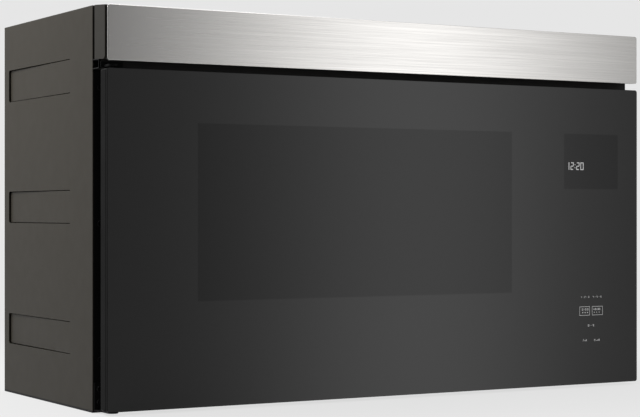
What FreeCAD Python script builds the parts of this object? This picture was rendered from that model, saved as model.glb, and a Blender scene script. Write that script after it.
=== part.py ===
"""Over the range microwave with a hood: one solid or group of solids per piece.

Millimetres. +X is right, +Y is back, +Z is up. The origin is the middle of the bottom
of the whole object's box, so the glass front faces -Y and the wall side faces +Y.
"""
import FreeCAD
import Part
import math
import os

V = FreeCAD.Vector

# ---------------------------------------------------------------- driving dimensions
WIDTH = 759.0            # 30 in class: fits a 762 mm cabinet gap
DEPTH = 331.0            # wall to the front of the glass
HEIGHT = 463.0
CASE_DEPTH = 288.2       # wall to the front edge of the side panels
SHEET = 1.0              # case, cavity and bracket steel
PLATE = 1.2              # front, rear and base plates

DOOR_BOTTOM = 4.0
DOOR_TOP = 389.5
DOOR_THICK = 22.0        # glass, tape and frame together
GLASS_THICK = 4.2
TAPE_THICK = 0.6
CORNER_R = 3.0           # the door's and the strip's front corners

STRIP_BOTTOM = 398.0
STRIP_TOP = 460.5
STRIP_HALF = 379.0       # the strip ends just inside the case sides
CARRIER_BACK = 7.2       # front face to the back of the black strip carrier
COWL_BACK = 36.6         # front face to the back of the painted vent cowl
COWL_BOTTOM = 399.7      # at its front
COWL_RISE = 2.2          # the cowl's top rises by this much to its back edge
COWL_LIFT = 1.8          # and its underside by this much
COWL_WALL = 1.2
COWL_EDGE_R = (5.0, 0.9)    # its lower edge at the front and at the back

WINDOW_X = (-275.0, 183.0)
WINDOW_Z = (118.0, 338.0)

CAVITY_X = (-296.0, 204.0)
CAVITY_Z = (103.0, 353.0)
CAVITY_BACK = 130.0
CERAMIC_THICK = 5.0
STIRRER_CENTRE = (-46.0, 4.0)
ANTENNA_X = 255.0        # where the magnetron's antenna enters the waveguide

SCREW_R = 1.6
HEAD_HEIGHT = 1.4
HINGE_X = -368.0
HINGE_SETBACK = 12.0     # front face to the hinge axis
PIN_R = 3.0
RUNNING_GAP = 0.05       # radial clearance of a pin or shaft in its bore

EXHAUST_SIZE = (254.0, 82.5)   # 10 in by 3 1/4 in duct
EXHAUST_CENTRE_Y = 81.25
BOLT_SPACING = 610.0     # two cabinet bolts in a line
BOLT_Y = -60.0
BOLT_HOLE_R = 3.3        # 1/4 in bolt
CORD_X = 330.0
CORD_Y = 120.0
CORD_BORE_R = 5.0

BLOWER_Y = 65.25
BLOWER_Z = 404.0
WHEEL_R = 36.0
WHEEL_LENGTH = 76.0
WHEEL_BLADES = 32

FILTER_SIZE = (140.0, 194.0, 7.0)
FILTER_CENTRE_X = 270.0
FILTER_OPENING = (144.0, 186.0)
FILTER_OPENING_Y = -52.0

# ---------------------------------------------------------------- derived places
HALF_W = WIDTH / 2
FRONT = -DEPTH / 2
REAR = DEPTH / 2
CASE_FRONT = REAR - CASE_DEPTH
PLATE_BACK = CASE_FRONT + PLATE
INNER_X = HALF_W - SHEET
GLASS_BACK = FRONT + GLASS_THICK
FRAME_FRONT = GLASS_BACK + TAPE_THICK
SLAB_BACK = FRONT + DOOR_THICK
CARRIER_Y = FRONT + CARRIER_BACK
COWL_Y = FRONT + COWL_BACK
HINGE_Y = FRONT + HINGE_SETBACK
RAIL_FRONT = -141.0
RAIL_BOTTOM = DOOR_TOP + 0.7
FRAME_WALL = 2.0
POCKET_FRONT = FRAME_FRONT + FRAME_WALL
LEDGE_Z = CAVITY_Z[0] - CERAMIC_THICK
RECESS_Z = 75.0
SHELF_Z = 76.0
WAVEGUIDE_Z = (34.0, 75.0)
COVER_BACK = -124.2      # the door's rearmost face, clear of the front plate
COVER_INNER = -126.0

BAY_X = (-338.0, 230.0)          # pocket for the pressed door plate
BAY_Z = (52.0, 378.0)
CHANNEL_X = (239.7, 246.3)       # channel the latch slider runs in
CHANNEL_Z = (66.0, 374.0)
CONTROL_X = (252.0, 358.0)       # bay behind the display and the touch keys
CONTROL_Z = (40.0, 345.0)
HOOK_WINDOW_X = (237.5, 252.0)
HOOK_Z = (88.0, 328.0)           # underside of each latch hook's nose
HOOK_WINDOW_HEIGHT = 26.0


# ---------------------------------------------------------------- helpers
def box(x_range, y_range, z_range):
    """A box between two corners, given as ranges."""
    corner = V(x_range[0], y_range[0], z_range[0])
    size = (x_range[1] - x_range[0], y_range[1] - y_range[0], z_range[1] - z_range[0])
    return Part.makeBox(size[0], size[1], size[2], corner)


def centred_box(centre, size):
    """A box of the given size about a centre point."""
    ranges = [(middle - length / 2, middle + length / 2) for middle, length in zip(centre, size)]
    return box(*ranges)


def rod(radius, start, end):
    """A cylinder between two points."""
    start = V(*start)
    axis = V(*end) - start
    return Part.makeCylinder(radius, axis.Length, start, axis)


def cut(shape, *tools):
    """The shape less every tool."""
    return shape.cut(list(tools))


def fuse(shape, *others):
    """One solid from touching shapes, with its split faces merged."""
    return shape.fuse(list(others)).removeSplitter()


def edges_along(shape, axis, keep=None):
    """Straight edges of a shape parallel to an axis, filtered by a test on their middle."""
    found = []
    for edge in shape.Edges:
        if not isinstance(edge.Curve, Part.Line):
            continue
        direction = edge.tangentAt(edge.FirstParameter)
        if abs(direction.dot(axis)) < 0.999:
            continue
        if keep is None or keep(edge.CenterOfMass):
            found.append(edge)
    return found


def rounded_slab(x_range, y_range, z_range, radius):
    """A slab facing Y whose four corners, seen from the front, are rounded."""
    slab = box(x_range, y_range, z_range)
    return slab.makeFillet(radius, edges_along(slab, V(0, 1, 0)))


def prism(points, start, direction):
    """A straight prism from a closed outline of (a, b) points at a start on one axis.

    The outline lies across the direction: direction X takes (y, z), Y takes (x, z) and
    Z takes (x, y).
    """
    if abs(direction.x) > 0:
        corners = [V(start, a, b) for a, b in points]
    elif abs(direction.y) > 0:
        corners = [V(a, start, b) for a, b in points]
    else:
        corners = [V(a, b, start) for a, b in points]
    wire = Part.makePolygon(corners + [corners[0]])
    return Part.Face(wire).extrude(direction)


def ring_box(x_range, y_range, z_range, wall):
    """A rectangular ring seen from the front: a box with its middle cut through in Y."""
    inner_x = (x_range[0] + wall, x_range[1] - wall)
    inner_z = (z_range[0] + wall, z_range[1] - wall)
    hole = box(inner_x, (y_range[0] - 1, y_range[1] + 1), inner_z)
    return cut(box(x_range, y_range, z_range), hole)


def group(solids):
    """Several separate solids kept in one node."""
    return Part.makeCompound(solids)


def screw(seat, direction, length=7.0, head_r=3.4):
    """A pan-head screw: the head stands out of the seat, the shank goes along direction."""
    seat = V(*seat)
    direction = V(*direction)
    head = Part.makeCone(head_r - 0.7, head_r, HEAD_HEIGHT, seat - direction * HEAD_HEIGHT,
                         direction)
    shank = Part.makeCylinder(SCREW_R, length, seat, direction)
    return fuse(head, shank)


# ---------------------------------------------------------------- case
TAB_Y = (-55.0, 149.8)       # a lanced tab of the case side, from its bend to its free end
TAB_Z = ((367.0, 407.2), (214.5, 254.0), (62.0, 100.3))
TAB_DEPTH = 2.4              # how far the free end is bent inward
TAB_SLIT = 0.9
TAB_CORNER_R = 3.0
SIDE_SCREW_Z = (60.0, 215.0, 370.0)


def tab_outline(z_range, slit):
    """A tab's rectangle, round at its free end, through all depths and less the slit."""
    outline = box((-1.0, TAB_DEPTH + SHEET + 1.0), (TAB_Y[0], TAB_Y[1] - slit),
                  (z_range[0] + slit, z_range[1] - slit))
    corners = edges_along(outline, V(1, 0, 0), lambda middle: middle.y > 0)
    return outline.makeFillet(TAB_CORNER_R - slit, corners)


def lanced_tab(z_range):
    """The tab itself: cut free on three sides and bent inward about its front edge."""
    sheet = prism(((0.0, TAB_Y[0]), (SHEET, TAB_Y[0]), (TAB_DEPTH + SHEET, TAB_Y[1]),
                   (TAB_DEPTH, TAB_Y[1])), z_range[0], V(0, 0, z_range[1] - z_range[0]))
    return sheet.common(tab_outline(z_range, TAB_SLIT))


def on_side(side, shape):
    """A shape drawn inward along +X, placed on the left or the right side of the case."""
    if side > 0:
        shape = shape.mirror(V(0, 0, 0), V(1, 0, 0))
    shape.translate(V(side * HALF_W, 0, 0))
    return shape


def side_panel(side):
    """One side of the case: sheet with three lanced tabs and folded flanges."""
    def across(inner, outer):
        return tuple(sorted((side * inner, side * outer)))

    panel = box(across(INNER_X, HALF_W), (CASE_FRONT, REAR), (0, HEIGHT))
    front_flange = box(across(INNER_X - 16, INNER_X), (PLATE_BACK, PLATE_BACK + SHEET),
                       (PLATE, HEIGHT - 2 * SHEET))
    rear_flange = box(across(INNER_X - 14, INNER_X), (REAR - PLATE - SHEET, REAR - PLATE),
                      (PLATE, HEIGHT - 2 * SHEET))
    windows = [on_side(side, tab_outline(z_range, 0.0)) for z_range in TAB_Z]
    tabs = [on_side(side, lanced_tab(z_range)) for z_range in TAB_Z]
    panel = fuse(cut(panel, *windows), front_flange, rear_flange, *tabs)
    places = [(side * (INNER_X - 8), z) for z in SIDE_SCREW_Z]
    if side < 0:
        places += [(x, z) for x, z in HINGE_SCREWS if x < -INNER_X + 14]
    holes = [rod(SCREW_R, (x, PLATE_BACK - 1, z), (x, PLATE_BACK + 4, z)) for x, z in places]
    return cut(panel, *holes)


def exhaust_opening(y_grow=0.0):
    """The rectangular space of the duct outlet through the top."""
    length, width = EXHAUST_SIZE
    return centred_box((0, EXHAUST_CENTRE_Y, HEIGHT), (length, width + y_grow, 20.0))


def top_panel():
    """The case top: duct outlet, two bolt holes, cord hole, pressed ribs, front flange."""
    panel = box((-INNER_X, INNER_X), (CASE_FRONT, REAR - PLATE), (HEIGHT - SHEET, HEIGHT))
    lip = box((-INNER_X + 20, INNER_X - 20), (PLATE_BACK, PLATE_BACK + SHEET),
              (HEIGHT - 9, HEIGHT - SHEET))
    ribs = []
    for x in (-340.0, -250.0, -180.0, 180.0, 250.0):
        ribs.append(box((x, x + 8), (-20, 140), (HEIGHT - SHEET - 3, HEIGHT - SHEET)))
    tools = [exhaust_opening()]
    for side in (-1, 1):
        x = side * BOLT_SPACING / 2
        tools.append(rod(BOLT_HOLE_R, (x, BOLT_Y, HEIGHT - 5), (x, BOLT_Y, HEIGHT + 1)))
    tools.append(rod(11.0, (CORD_X, CORD_Y, HEIGHT - 5), (CORD_X, CORD_Y, HEIGHT + 1)))
    return cut(fuse(panel, lip, *ribs), *tools)


def rear_panel():
    """The wall side: hook slots low down, stiffening ribs pressed inward."""
    panel = box((-INNER_X, INNER_X), (REAR - PLATE, REAR), (0, HEIGHT - SHEET))
    ribs = []
    for x in (-330.0, 322.0):
        ribs.append(box((x, x + 8), (REAR - PLATE - 3, REAR - PLATE), (60, 340)))
    slots = [box((x - 16, x + 16), (REAR - 5, REAR + 1), (22, 28)) for x in (-300, 0, 300)]
    panel = fuse(panel, *ribs)
    return cut(panel, *slots)


def filter_opening_y():
    """The front and back of a grease filter opening."""
    return (FILTER_OPENING_Y, FILTER_OPENING_Y + FILTER_OPENING[1])


LENS_X = (-60.0, 60.0)
LENS_Y = (-108.0, -68.0)


def base_plate():
    """The underside: two filter openings with guides, a lamp window and intake slots."""
    plate = box((-INNER_X, INNER_X), (CASE_FRONT + PLATE, REAR - PLATE), (0, PLATE))
    guides = []
    tools = [box(LENS_X, LENS_Y, (-1, 5))]
    half = FILTER_OPENING[0] / 2
    opening_y = filter_opening_y()
    guide_y = (opening_y[0] + 4, opening_y[1] - 4)
    for side in (-1, 1):
        middle = side * FILTER_CENTRE_X
        tools.append(box((middle - half, middle + half), opening_y, (-1, 5)))
        for end in (-1, 1):
            foot = tuple(sorted((middle + end * (half - 1), middle + end * (half + 5))))
            wall = tuple(sorted((middle + end * (half - 1), middle + end * half)))
            lip = tuple(sorted((middle + end * (half - 7), middle + end * half)))
            guides.append(box(foot, guide_y, (PLATE, PLATE + SHEET)))
            guides.append(box(wall, guide_y, (PLATE, 11.0)))
            guides.append(box(lip, guide_y, (10.0, 11.0)))
    for index in range(9):
        x = 96 + index * 24
        tools.append(box((x, x + 14), (-104, -98), (-1, 5)))
        tools.append(box((x, x + 14), (-92, -86), (-1, 5)))
        tools.append(box((-x - 14, -x), (-104, -98), (-1, 5)))
        tools.append(box((-x - 14, -x), (-92, -86), (-1, 5)))
    return fuse(cut(plate, *tools), *guides)


def hook_windows(y_range):
    """The two openings that the latch hooks pass through."""
    windows = []
    for z in HOOK_Z:
        windows.append(box(HOOK_WINDOW_X, y_range, (z - 6, z - 6 + HOOK_WINDOW_HEIGHT)))
    return windows


VENT_PORT_X = (-125.0, 125.0)
VENT_PORT_Z = (408.0, 450.0)
HINGE_SCREWS = ((-372.0, 12.0), (-356.0, 12.0), (-372.0, 27.0), (-356.0, 27.0))


def front_plate():
    """The face the door closes on: oven mouth, hook windows and the port to the vent."""
    plate = box((-INNER_X, INNER_X), (CASE_FRONT, PLATE_BACK), (0, HEIGHT - SHEET))
    through = (CASE_FRONT - 1, PLATE_BACK + 1)
    mouth = box(CAVITY_X, through, CAVITY_Z)
    mouth = mouth.makeFillet(6.0, edges_along(mouth, V(0, 1, 0)))
    port = box(VENT_PORT_X, through, VENT_PORT_Z)
    places = [(side * (INNER_X - 8), z) for side in (-1, 1) for z in SIDE_SCREW_Z]
    places += list(HINGE_SCREWS)
    holes = [rod(SCREW_R, (x, through[0], z), (x, through[1], z)) for x, z in places]
    return cut(plate, mouth, port, *hook_windows(through), *holes)


def upper_rail():
    """The folded channel that closes the gap above the door and carries the upper hinge.

    Its upper flange slopes with the cowl's underside.
    """
    near, far = cowl_bottom(RAIL_FRONT), cowl_bottom(CASE_FRONT)
    web = box((-HALF_W, HALF_W), (RAIL_FRONT, RAIL_FRONT + PLATE), (RAIL_BOTTOM, near))
    lower = box((-HALF_W, HALF_W), (RAIL_FRONT, CASE_FRONT), (RAIL_BOTTOM, RAIL_BOTTOM + PLATE))
    upper = prism(((RAIL_FRONT, near - PLATE), (CASE_FRONT, far - PLATE), (CASE_FRONT, far),
                   (RAIL_FRONT, near)), -HALF_W, V(WIDTH, 0, 0))
    return fuse(web, lower, upper)


def case_screws():
    """Screws through the front plate and the lower hinge leg."""
    screws = []
    for side in (-1, 1):
        for z in SIDE_SCREW_Z:
            screws.append(screw((side * (INNER_X - 8), CASE_FRONT, z), (0, 1, 0)))
    for x, z in HINGE_SCREWS:
        screws.append(screw((x, CASE_FRONT - HINGE_LEG, z), (0, 1, 0)))
    return group(screws)


def mounting_nuts():
    """Two weld nuts under the top, in line with the cabinet bolts."""
    nuts = []
    for side in (-1, 1):
        x = side * BOLT_SPACING / 2
        points = [(x + 7 * math.cos(math.radians(60 * i)), BOLT_Y + 7 * math.sin(math.radians(60 * i)))
                  for i in range(6)]
        body = prism(points, HEIGHT - SHEET - 5.5, V(0, 0, 5.5))
        bore = rod(BOLT_HOLE_R, (x, BOLT_Y, HEIGHT - 10), (x, BOLT_Y, HEIGHT))
        nuts.append(cut(body, bore))
    return group(nuts)


def cord_bushing():
    """The bushing in the top that the supply cord would leave through, flush with the top."""
    flange = rod(14.0, (CORD_X, CORD_Y, HEIGHT - SHEET - 2.5), (CORD_X, CORD_Y, HEIGHT - SHEET))
    neck = rod(10.9, (CORD_X, CORD_Y, HEIGHT - SHEET), (CORD_X, CORD_Y, HEIGHT))
    skirt = rod(9.0, (CORD_X, CORD_Y, HEIGHT - 12), (CORD_X, CORD_Y, HEIGHT - SHEET))
    bore = rod(CORD_BORE_R, (CORD_X, CORD_Y, HEIGHT - 20), (CORD_X, CORD_Y, HEIGHT + 1))
    return cut(fuse(flange, neck, skirt), bore)


# ---------------------------------------------------------------- front vent
def trim_strip():
    """The brushed strip: a face with its top and bottom edges turned back."""
    face = rounded_slab((-STRIP_HALF, STRIP_HALF), (FRONT, FRONT + SHEET),
                        (STRIP_BOTTOM, STRIP_TOP), CORNER_R)
    back = (FRONT, FRONT + 5.0)
    run = (-STRIP_HALF + CORNER_R, STRIP_HALF - CORNER_R)
    top = box(run, back, (STRIP_TOP - SHEET, STRIP_TOP))
    bottom = box(run, back, (STRIP_BOTTOM, STRIP_BOTTOM + SHEET))
    strip = fuse(face, top, bottom)
    long_edges = edges_along(strip, V(1, 0, 0), lambda middle: middle.y < FRONT + 0.1)
    return strip.makeFillet(0.6, long_edges)


def strip_carrier():
    """The moulded bar behind the strip, pocketed from the back between ribs."""
    half = STRIP_HALF - 1.0
    carrier = box((-half, half), (FRONT + SHEET, CARRIER_Y),
                  (STRIP_BOTTOM + SHEET, STRIP_TOP - SHEET))
    pockets = []
    count = 10
    pitch = (WIDTH - 20) / count
    for index in range(count):
        x = -HALF_W + 10 + index * pitch
        pockets.append(box((x + 2, x + pitch - 2), (FRONT + 3.5, CARRIER_Y + 1),
                           (STRIP_BOTTOM + 10, STRIP_TOP - 6)))
    return cut(carrier, *pockets)


def cowl_bottom(y):
    """The height of the cowl's sloping underside."""
    return COWL_BOTTOM + COWL_LIFT * (y - CARRIER_Y) / (COWL_Y - CARRIER_Y)


def cowl_profile(shrink):
    """The vent cowl's outline across X: its top and its underside rise to the back."""
    front = CARRIER_Y + shrink
    back = COWL_Y + (1.0 if shrink else 0.0)
    slope = COWL_RISE / (COWL_Y - CARRIER_Y)
    top_front = STRIP_TOP + 0.1 - shrink
    return ((front, cowl_bottom(front) + shrink), (back, cowl_bottom(back) + shrink),
            (back, top_front + slope * (back - front)), (front, top_front))


LOUVRE_BAYS = 4
LOUVRE_Y = (-150.5, -143.0)


def louvre_bays():
    """The X range of each opening in the cowl's underside."""
    span = 660.0
    pitch = span / LOUVRE_BAYS
    return [(-span / 2 + i * pitch + 6, -span / 2 + (i + 1) * pitch - 6)
            for i in range(LOUVRE_BAYS)]


def vent_cowl():
    """The painted housing behind the strip: open at the back, louvred underneath."""
    outer = prism(cowl_profile(0.0), -HALF_W, V(WIDTH, 0, 0))
    lower_front = edges_along(outer, V(1, 0, 0),
                              lambda middle: middle.y < COWL_Y - 1 and middle.z < STRIP_TOP - 1)
    outer = outer.makeFillet(COWL_EDGE_R[0], lower_front)
    lower_back = edges_along(outer, V(1, 0, 0),
                             lambda middle: middle.y > COWL_Y - 1 and middle.z < STRIP_TOP - 1)
    outer = outer.makeFillet(COWL_EDGE_R[1], lower_back)
    inner = prism(cowl_profile(COWL_WALL), -HALF_W + COWL_WALL, V(WIDTH - 2 * COWL_WALL, 0, 0))
    inner_corner = edges_along(inner, V(1, 0, 0),
                               lambda middle: middle.y < COWL_Y - 1 and middle.z < STRIP_TOP - 9)
    inner = inner.makeFillet(COWL_EDGE_R[0] - COWL_WALL, inner_corner)
    openings = [box(x_range, LOUVRE_Y, (COWL_BOTTOM - 1, COWL_BOTTOM + 4))
                for x_range in louvre_bays()]
    return cut(outer, inner, *openings)


def above_floor(y_near, y_far, height):
    """A band of one height that stands on the cowl's sloping floor, as (y, z) corners."""
    near, far = (cowl_bottom(y) + COWL_WALL for y in (y_near, y_far))
    return ((y_near, near), (y_far, far), (y_far, far + height), (y_near, near + height))


def vent_louvres():
    """The slatted insert above the cowl's underside that sends the air forward."""
    length = (-336.0, 336.0)
    height = 4.0
    frame = prism(above_floor(LOUVRE_Y[0] - 0.4, LOUVRE_Y[1] + 3.0, height), length[0],
                  V(length[1] - length[0], 0, 0))
    holes = [box(x_range, LOUVRE_Y, (COWL_BOTTOM, COWL_BOTTOM + 9)) for x_range in louvre_bays()]
    frame = cut(frame, *holes)
    slats = []
    for y in (-149.2, -145.8):
        floor = cowl_bottom(y) + COWL_WALL
        slats.append(prism(((y, floor), (y + 0.9, cowl_bottom(y + 0.9) + COWL_WALL),
                            (y + 3.0, floor + height), (y + 2.1, floor + height)),
                           length[0], V(length[1] - length[0], 0, 0)))
    return fuse(frame, *slats)


def plenum_seal():
    """The black duct collar that joins the cowl to the front plate, set in from its ends."""
    bottom = cowl_bottom(COWL_Y) + COWL_WALL
    mouth = ring_box((-HALF_W + COWL_WALL, HALF_W - COWL_WALL), (COWL_Y - 6.0, COWL_Y - 1.0),
                     (bottom, 457.0), 6.0)
    collar = ring_box((-HALF_W + 4.5, HALF_W - 4.5), (COWL_Y - 1.0, CASE_FRONT),
                      (bottom, 457.0), 2.7)
    return fuse(mouth, collar)


def charcoal_filter():
    """The boxed carbon filter behind the vent port: a frame with a ribbed pad."""
    frame = box((VENT_PORT_X[0] - 8, VENT_PORT_X[1] + 8), (PLATE_BACK, PLATE_BACK + 12),
                (VENT_PORT_Z[0] - 6, VENT_PORT_Z[1] + 4))
    grooves = []
    for index in range(12):
        x = VENT_PORT_X[0] + 4 + index * 20.4
        grooves.append(box((x, x + 12), (PLATE_BACK - 1, PLATE_BACK + 4), VENT_PORT_Z))
    return cut(frame, *grooves)


# ---------------------------------------------------------------- oven
def cavity_wrapper():
    """The oven's two sides and top in one folded sheet."""
    y_range = (PLATE_BACK, CAVITY_BACK + SHEET)
    outer = box((CAVITY_X[0] - SHEET, CAVITY_X[1] + SHEET), y_range,
                (LEDGE_Z - SHEET, CAVITY_Z[1] + SHEET))
    inner = box(CAVITY_X, (y_range[0] - 1, y_range[1] + 1), (LEDGE_Z - 2 * SHEET, CAVITY_Z[1]))
    return cut(outer, inner)


def cavity_back():
    """The oven's back wall, with a raised panel pressed towards the rear."""
    y_range = (CAVITY_BACK, CAVITY_BACK + SHEET)
    return box(CAVITY_X, y_range, (LEDGE_Z, CAVITY_Z[1]))


def cavity_floor_pan():
    """The oven's bottom: a ledge for the ceramic plate round a well for the stirrer."""
    y_range = (PLATE_BACK, CAVITY_BACK + SHEET)
    ledge = box(CAVITY_X, y_range, (LEDGE_Z - SHEET, LEDGE_Z))
    well_x = (STIRRER_CENTRE[0] - 184, STIRRER_CENTRE[0] + 184)
    well_y = (STIRRER_CENTRE[1] - 94, STIRRER_CENTRE[1] + 94)
    well = box(well_x, well_y, (RECESS_Z, LEDGE_Z - SHEET))
    well = well.makeFillet(20.0, edges_along(well, V(0, 0, 1)))
    hollow = box((well_x[0] + 1, well_x[1] - 1), (well_y[0] + 1, well_y[1] - 1),
                 (RECESS_Z + SHEET, LEDGE_Z + 1))
    hollow = hollow.makeFillet(19.0, edges_along(hollow, V(0, 0, 1)))
    shaft_hole = rod(12.0, (*STIRRER_CENTRE, RECESS_Z - 1), (*STIRRER_CENTRE, RECESS_Z + 2))
    return cut(fuse(ledge, well), hollow, shaft_hole)


def ceramic_floor():
    """The flat glass-ceramic plate that food stands on."""
    plate = box((CAVITY_X[0] + 1.5, CAVITY_X[1] - 1.5), (PLATE_BACK + 1, CAVITY_BACK - 1.5),
                (LEDGE_Z, CAVITY_Z[0]))
    return plate.makeFillet(4.0, edges_along(plate, V(0, 0, 1)))


def cavity_lamp():
    """The lamp housing on the outside of the oven's left wall."""
    x = CAVITY_X[0] - SHEET
    base = box((x - 3, x), (-24, 24), (276, 324))
    hood = box((x - 14, x - 3), (-17, 17), (284, 316))
    hood = hood.makeFillet(3.0, edges_along(hood, V(1, 0, 0)))
    terminals = [box((x - 20, x - 14), (y, y + 6), (297, 298)) for y in (-10, 4)]
    return fuse(base, hood, *terminals)


# ---------------------------------------------------------------- microwave source
def waveguide():
    """The rectangular duct below the oven, closed at both ends."""
    x_range = (STIRRER_CENTRE[0] - 54, ANTENNA_X + 35)
    y_range = (STIRRER_CENTRE[1] - 44, STIRRER_CENTRE[1] + 44)
    duct = box(x_range, y_range, WAVEGUIDE_Z)
    hollow = box((x_range[0] + 1, x_range[1] - 1), (y_range[0] + 1, y_range[1] - 1),
                 (WAVEGUIDE_Z[0] + 1, WAVEGUIDE_Z[1] - 1))
    centre = STIRRER_CENTRE
    motor_hole = rod(6.0, (*centre, WAVEGUIDE_Z[0] - 1), (*centre, WAVEGUIDE_Z[0] + 2))
    coupling = rod(12.0, (*centre, WAVEGUIDE_Z[1] - 2), (*centre, WAVEGUIDE_Z[1] + 1))
    antenna = rod(11.0, (ANTENNA_X, centre[1], WAVEGUIDE_Z[1] - 2),
                  (ANTENNA_X, centre[1], WAVEGUIDE_Z[1] + 1))
    return cut(duct, hollow, motor_hole, coupling, antenna)


def stirrer_antenna():
    """The slotted disc that spins below the ceramic plate, with its drive shaft."""
    centre = STIRRER_CENTRE
    disc_z = 87.0
    disc = rod(78.0, (*centre, disc_z), (*centre, disc_z + 1.2))
    slots = []
    for index in range(5):
        slot = box((26, 62), (-5, 5), (disc_z - 1, disc_z + 3))
        slot = slot.makeFillet(4.9, edges_along(slot, V(0, 0, 1)))
        slot.rotate(V(0, 0, 0), V(0, 0, 1), 72 * index)
        slot.translate(V(*centre, 0))
        slots.append(slot)
    hub = rod(7.0, (*centre, disc_z - 4), (*centre, disc_z + 4))
    shaft = rod(3.0, (*centre, 20.0), (*centre, disc_z))
    return fuse(cut(disc, *slots), hub, shaft)


def stirrer_motor():
    """The small gearmotor hung under the waveguide, bored for the stirrer's shaft."""
    centre = STIRRER_CENTRE
    bottom = 13.0
    can = rod(25.0, (*centre, bottom), (*centre, WAVEGUIDE_Z[0] - 1))
    plate = box((centre[0] - 36, centre[0] + 36), (centre[1] - 12, centre[1] + 12),
                (WAVEGUIDE_Z[0] - 1, WAVEGUIDE_Z[0]))
    plug = box((centre[0] - 8, centre[0] + 8), (centre[1] + 20, centre[1] + 34), (16, 26))
    bore = rod(PIN_R + RUNNING_GAP, (*centre, 19.5), (*centre, WAVEGUIDE_Z[0] + 1))
    return cut(fuse(can, plate, plug), bore)


def magnetron():
    """The magnetron: a yoke round finned anode and magnets, with its filter box on top."""
    x, y = ANTENNA_X, STIRRER_CENTRE[1]
    half_x, half_y = 43.0, 38.0
    top = SHELF_Z + 72
    yoke = cut(box((x - half_x, x + half_x), (y - half_y, y + half_y), (SHELF_Z, top)),
               box((x - half_x + 2, x + half_x - 2), (y - half_y - 1, y + half_y + 1),
                   (SHELF_Z + 2, top - 2)))
    core = [rod(20.0, (x, y, SHELF_Z + 2), (x, y, top - 2)),
            rod(29.0, (x, y, SHELF_Z + 2), (x, y, SHELF_Z + 15)),
            rod(29.0, (x, y, top - 15), (x, y, top - 2)),
            rod(8.0, (x, y, SHELF_Z - 26), (x, y, SHELF_Z + 2))]
    fins = []
    for index in range(8):
        z = SHELF_Z + 18 + index * 4.8
        fins.append(box((x - half_x + 2, x + half_x - 2), (y - 33, y + 33), (z, z + 0.8)))
    filter_box = box((x - 30, x + 30), (y - 27, y + 27), (top, top + 34))
    terminal = box((x - 12, x + 12), (y - 40, y - 27), (top + 10, top + 24))
    return fuse(yoke, filter_box, terminal, *core, *fins)


def component_shelf():
    """The shelf over the air plenum that carries the parts beside the oven."""
    right_edge = HALF_W - TAB_DEPTH - SHEET - 0.5
    shelf = box((CAVITY_X[1] + SHEET, right_edge), (PLATE_BACK + SHEET, REAR - PLATE - 5),
                (SHELF_Z - SHEET, SHELF_Z))
    hole = rod(11.0, (ANTENNA_X, STIRRER_CENTRE[1], SHELF_Z - 2),
               (ANTENNA_X, STIRRER_CENTRE[1], SHELF_Z + 1))
    slots = []
    for index in range(6):
        y = 66 + index * 14
        slots.append(box((340, 368), (y, y + 7), (SHELF_Z - 2, SHELF_Z + 1)))
    return cut(shelf, hole, *slots)


FAN_CENTRE = (321.0, 4.0, 124.0)
FAN_R = 40.0


def cooling_fan_frame():
    """The square frame beside the magnetron with the fan's motor on struts."""
    x, y, z = FAN_CENTRE
    frame = box((x - 13, x + 13), (y - 46, y + 46), (SHELF_Z, SHELF_Z + 94))
    tunnel = rod(FAN_R + 3, (x - 14, y, z), (x + 14, y, z))
    frame = cut(frame, tunnel)
    motor = rod(17.0, (x + 4, y, z), (x + 13, y, z))
    struts = []
    for index in range(4):
        strut = box((x + 9, x + 13), (y - 2, y + 2), (z + 15, z + FAN_R + 5))
        strut.rotate(V(x, y, z), V(1, 0, 0), 45 + 90 * index)
        struts.append(strut)
    bore = rod(2.0 + RUNNING_GAP, (x + 3, y, z), (x + 11, y, z))
    return cut(fuse(frame, motor, *struts), bore)


def cooling_fan_rotor():
    """The axial fan: a hub with swept blades, and the stub of its shaft."""
    x, y, z = FAN_CENTRE
    hub = rod(16.0, (x - 11, y, z), (x + 3, y, z))
    shaft = rod(2.0, (x + 3, y, z), (x + 10, y, z))
    blades = []
    for index in range(7):
        blade = box((-9.0, 9.0), (-0.8, 0.8), (14.0, FAN_R))
        blade.rotate(V(0, 0, 0), V(0, 0, 1), 38)
        blade.translate(V(x - 4, y, z))
        blade.rotate(V(x, y, z), V(1, 0, 0), 360.0 / 7 * index)
        blades.append(blade)
    reach = rod(FAN_R, (x - 12, y, z), (x + 3, y, z))
    return fuse(hub, shaft, *[blade.common(reach) for blade in blades])


def high_voltage_transformer():
    """The laminated core with two bulging windings, bolted to the shelf."""
    x, y = 272.0, 106.0
    core = box((x - 42, x + 42), (y - 33, y + 33), (SHELF_Z, SHELF_Z + 66))
    windows = [box((x + side * 14 - 7, x + side * 14 + 7), (y - 34, y + 34),
                   (SHELF_Z + 16, SHELF_Z + 50)) for side in (-1.9, 1.9)]
    core = cut(core, *windows)
    coils = []
    for z_range in ((SHELF_Z + 17, SHELF_Z + 31), (SHELF_Z + 34, SHELF_Z + 49)):
        coil = box((x - 32, x + 32), (y - 44, y + 44), z_range)
        coils.append(coil.makeFillet(6.0, edges_along(coil, V(0, 0, 1))))
    foot = box((x - 50, x + 50), (y - 20, y + 20), (SHELF_Z, SHELF_Z + 2))
    return fuse(core, foot, *coils)


CAPACITOR_CENTRE = (352.0, -78.0)


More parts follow.
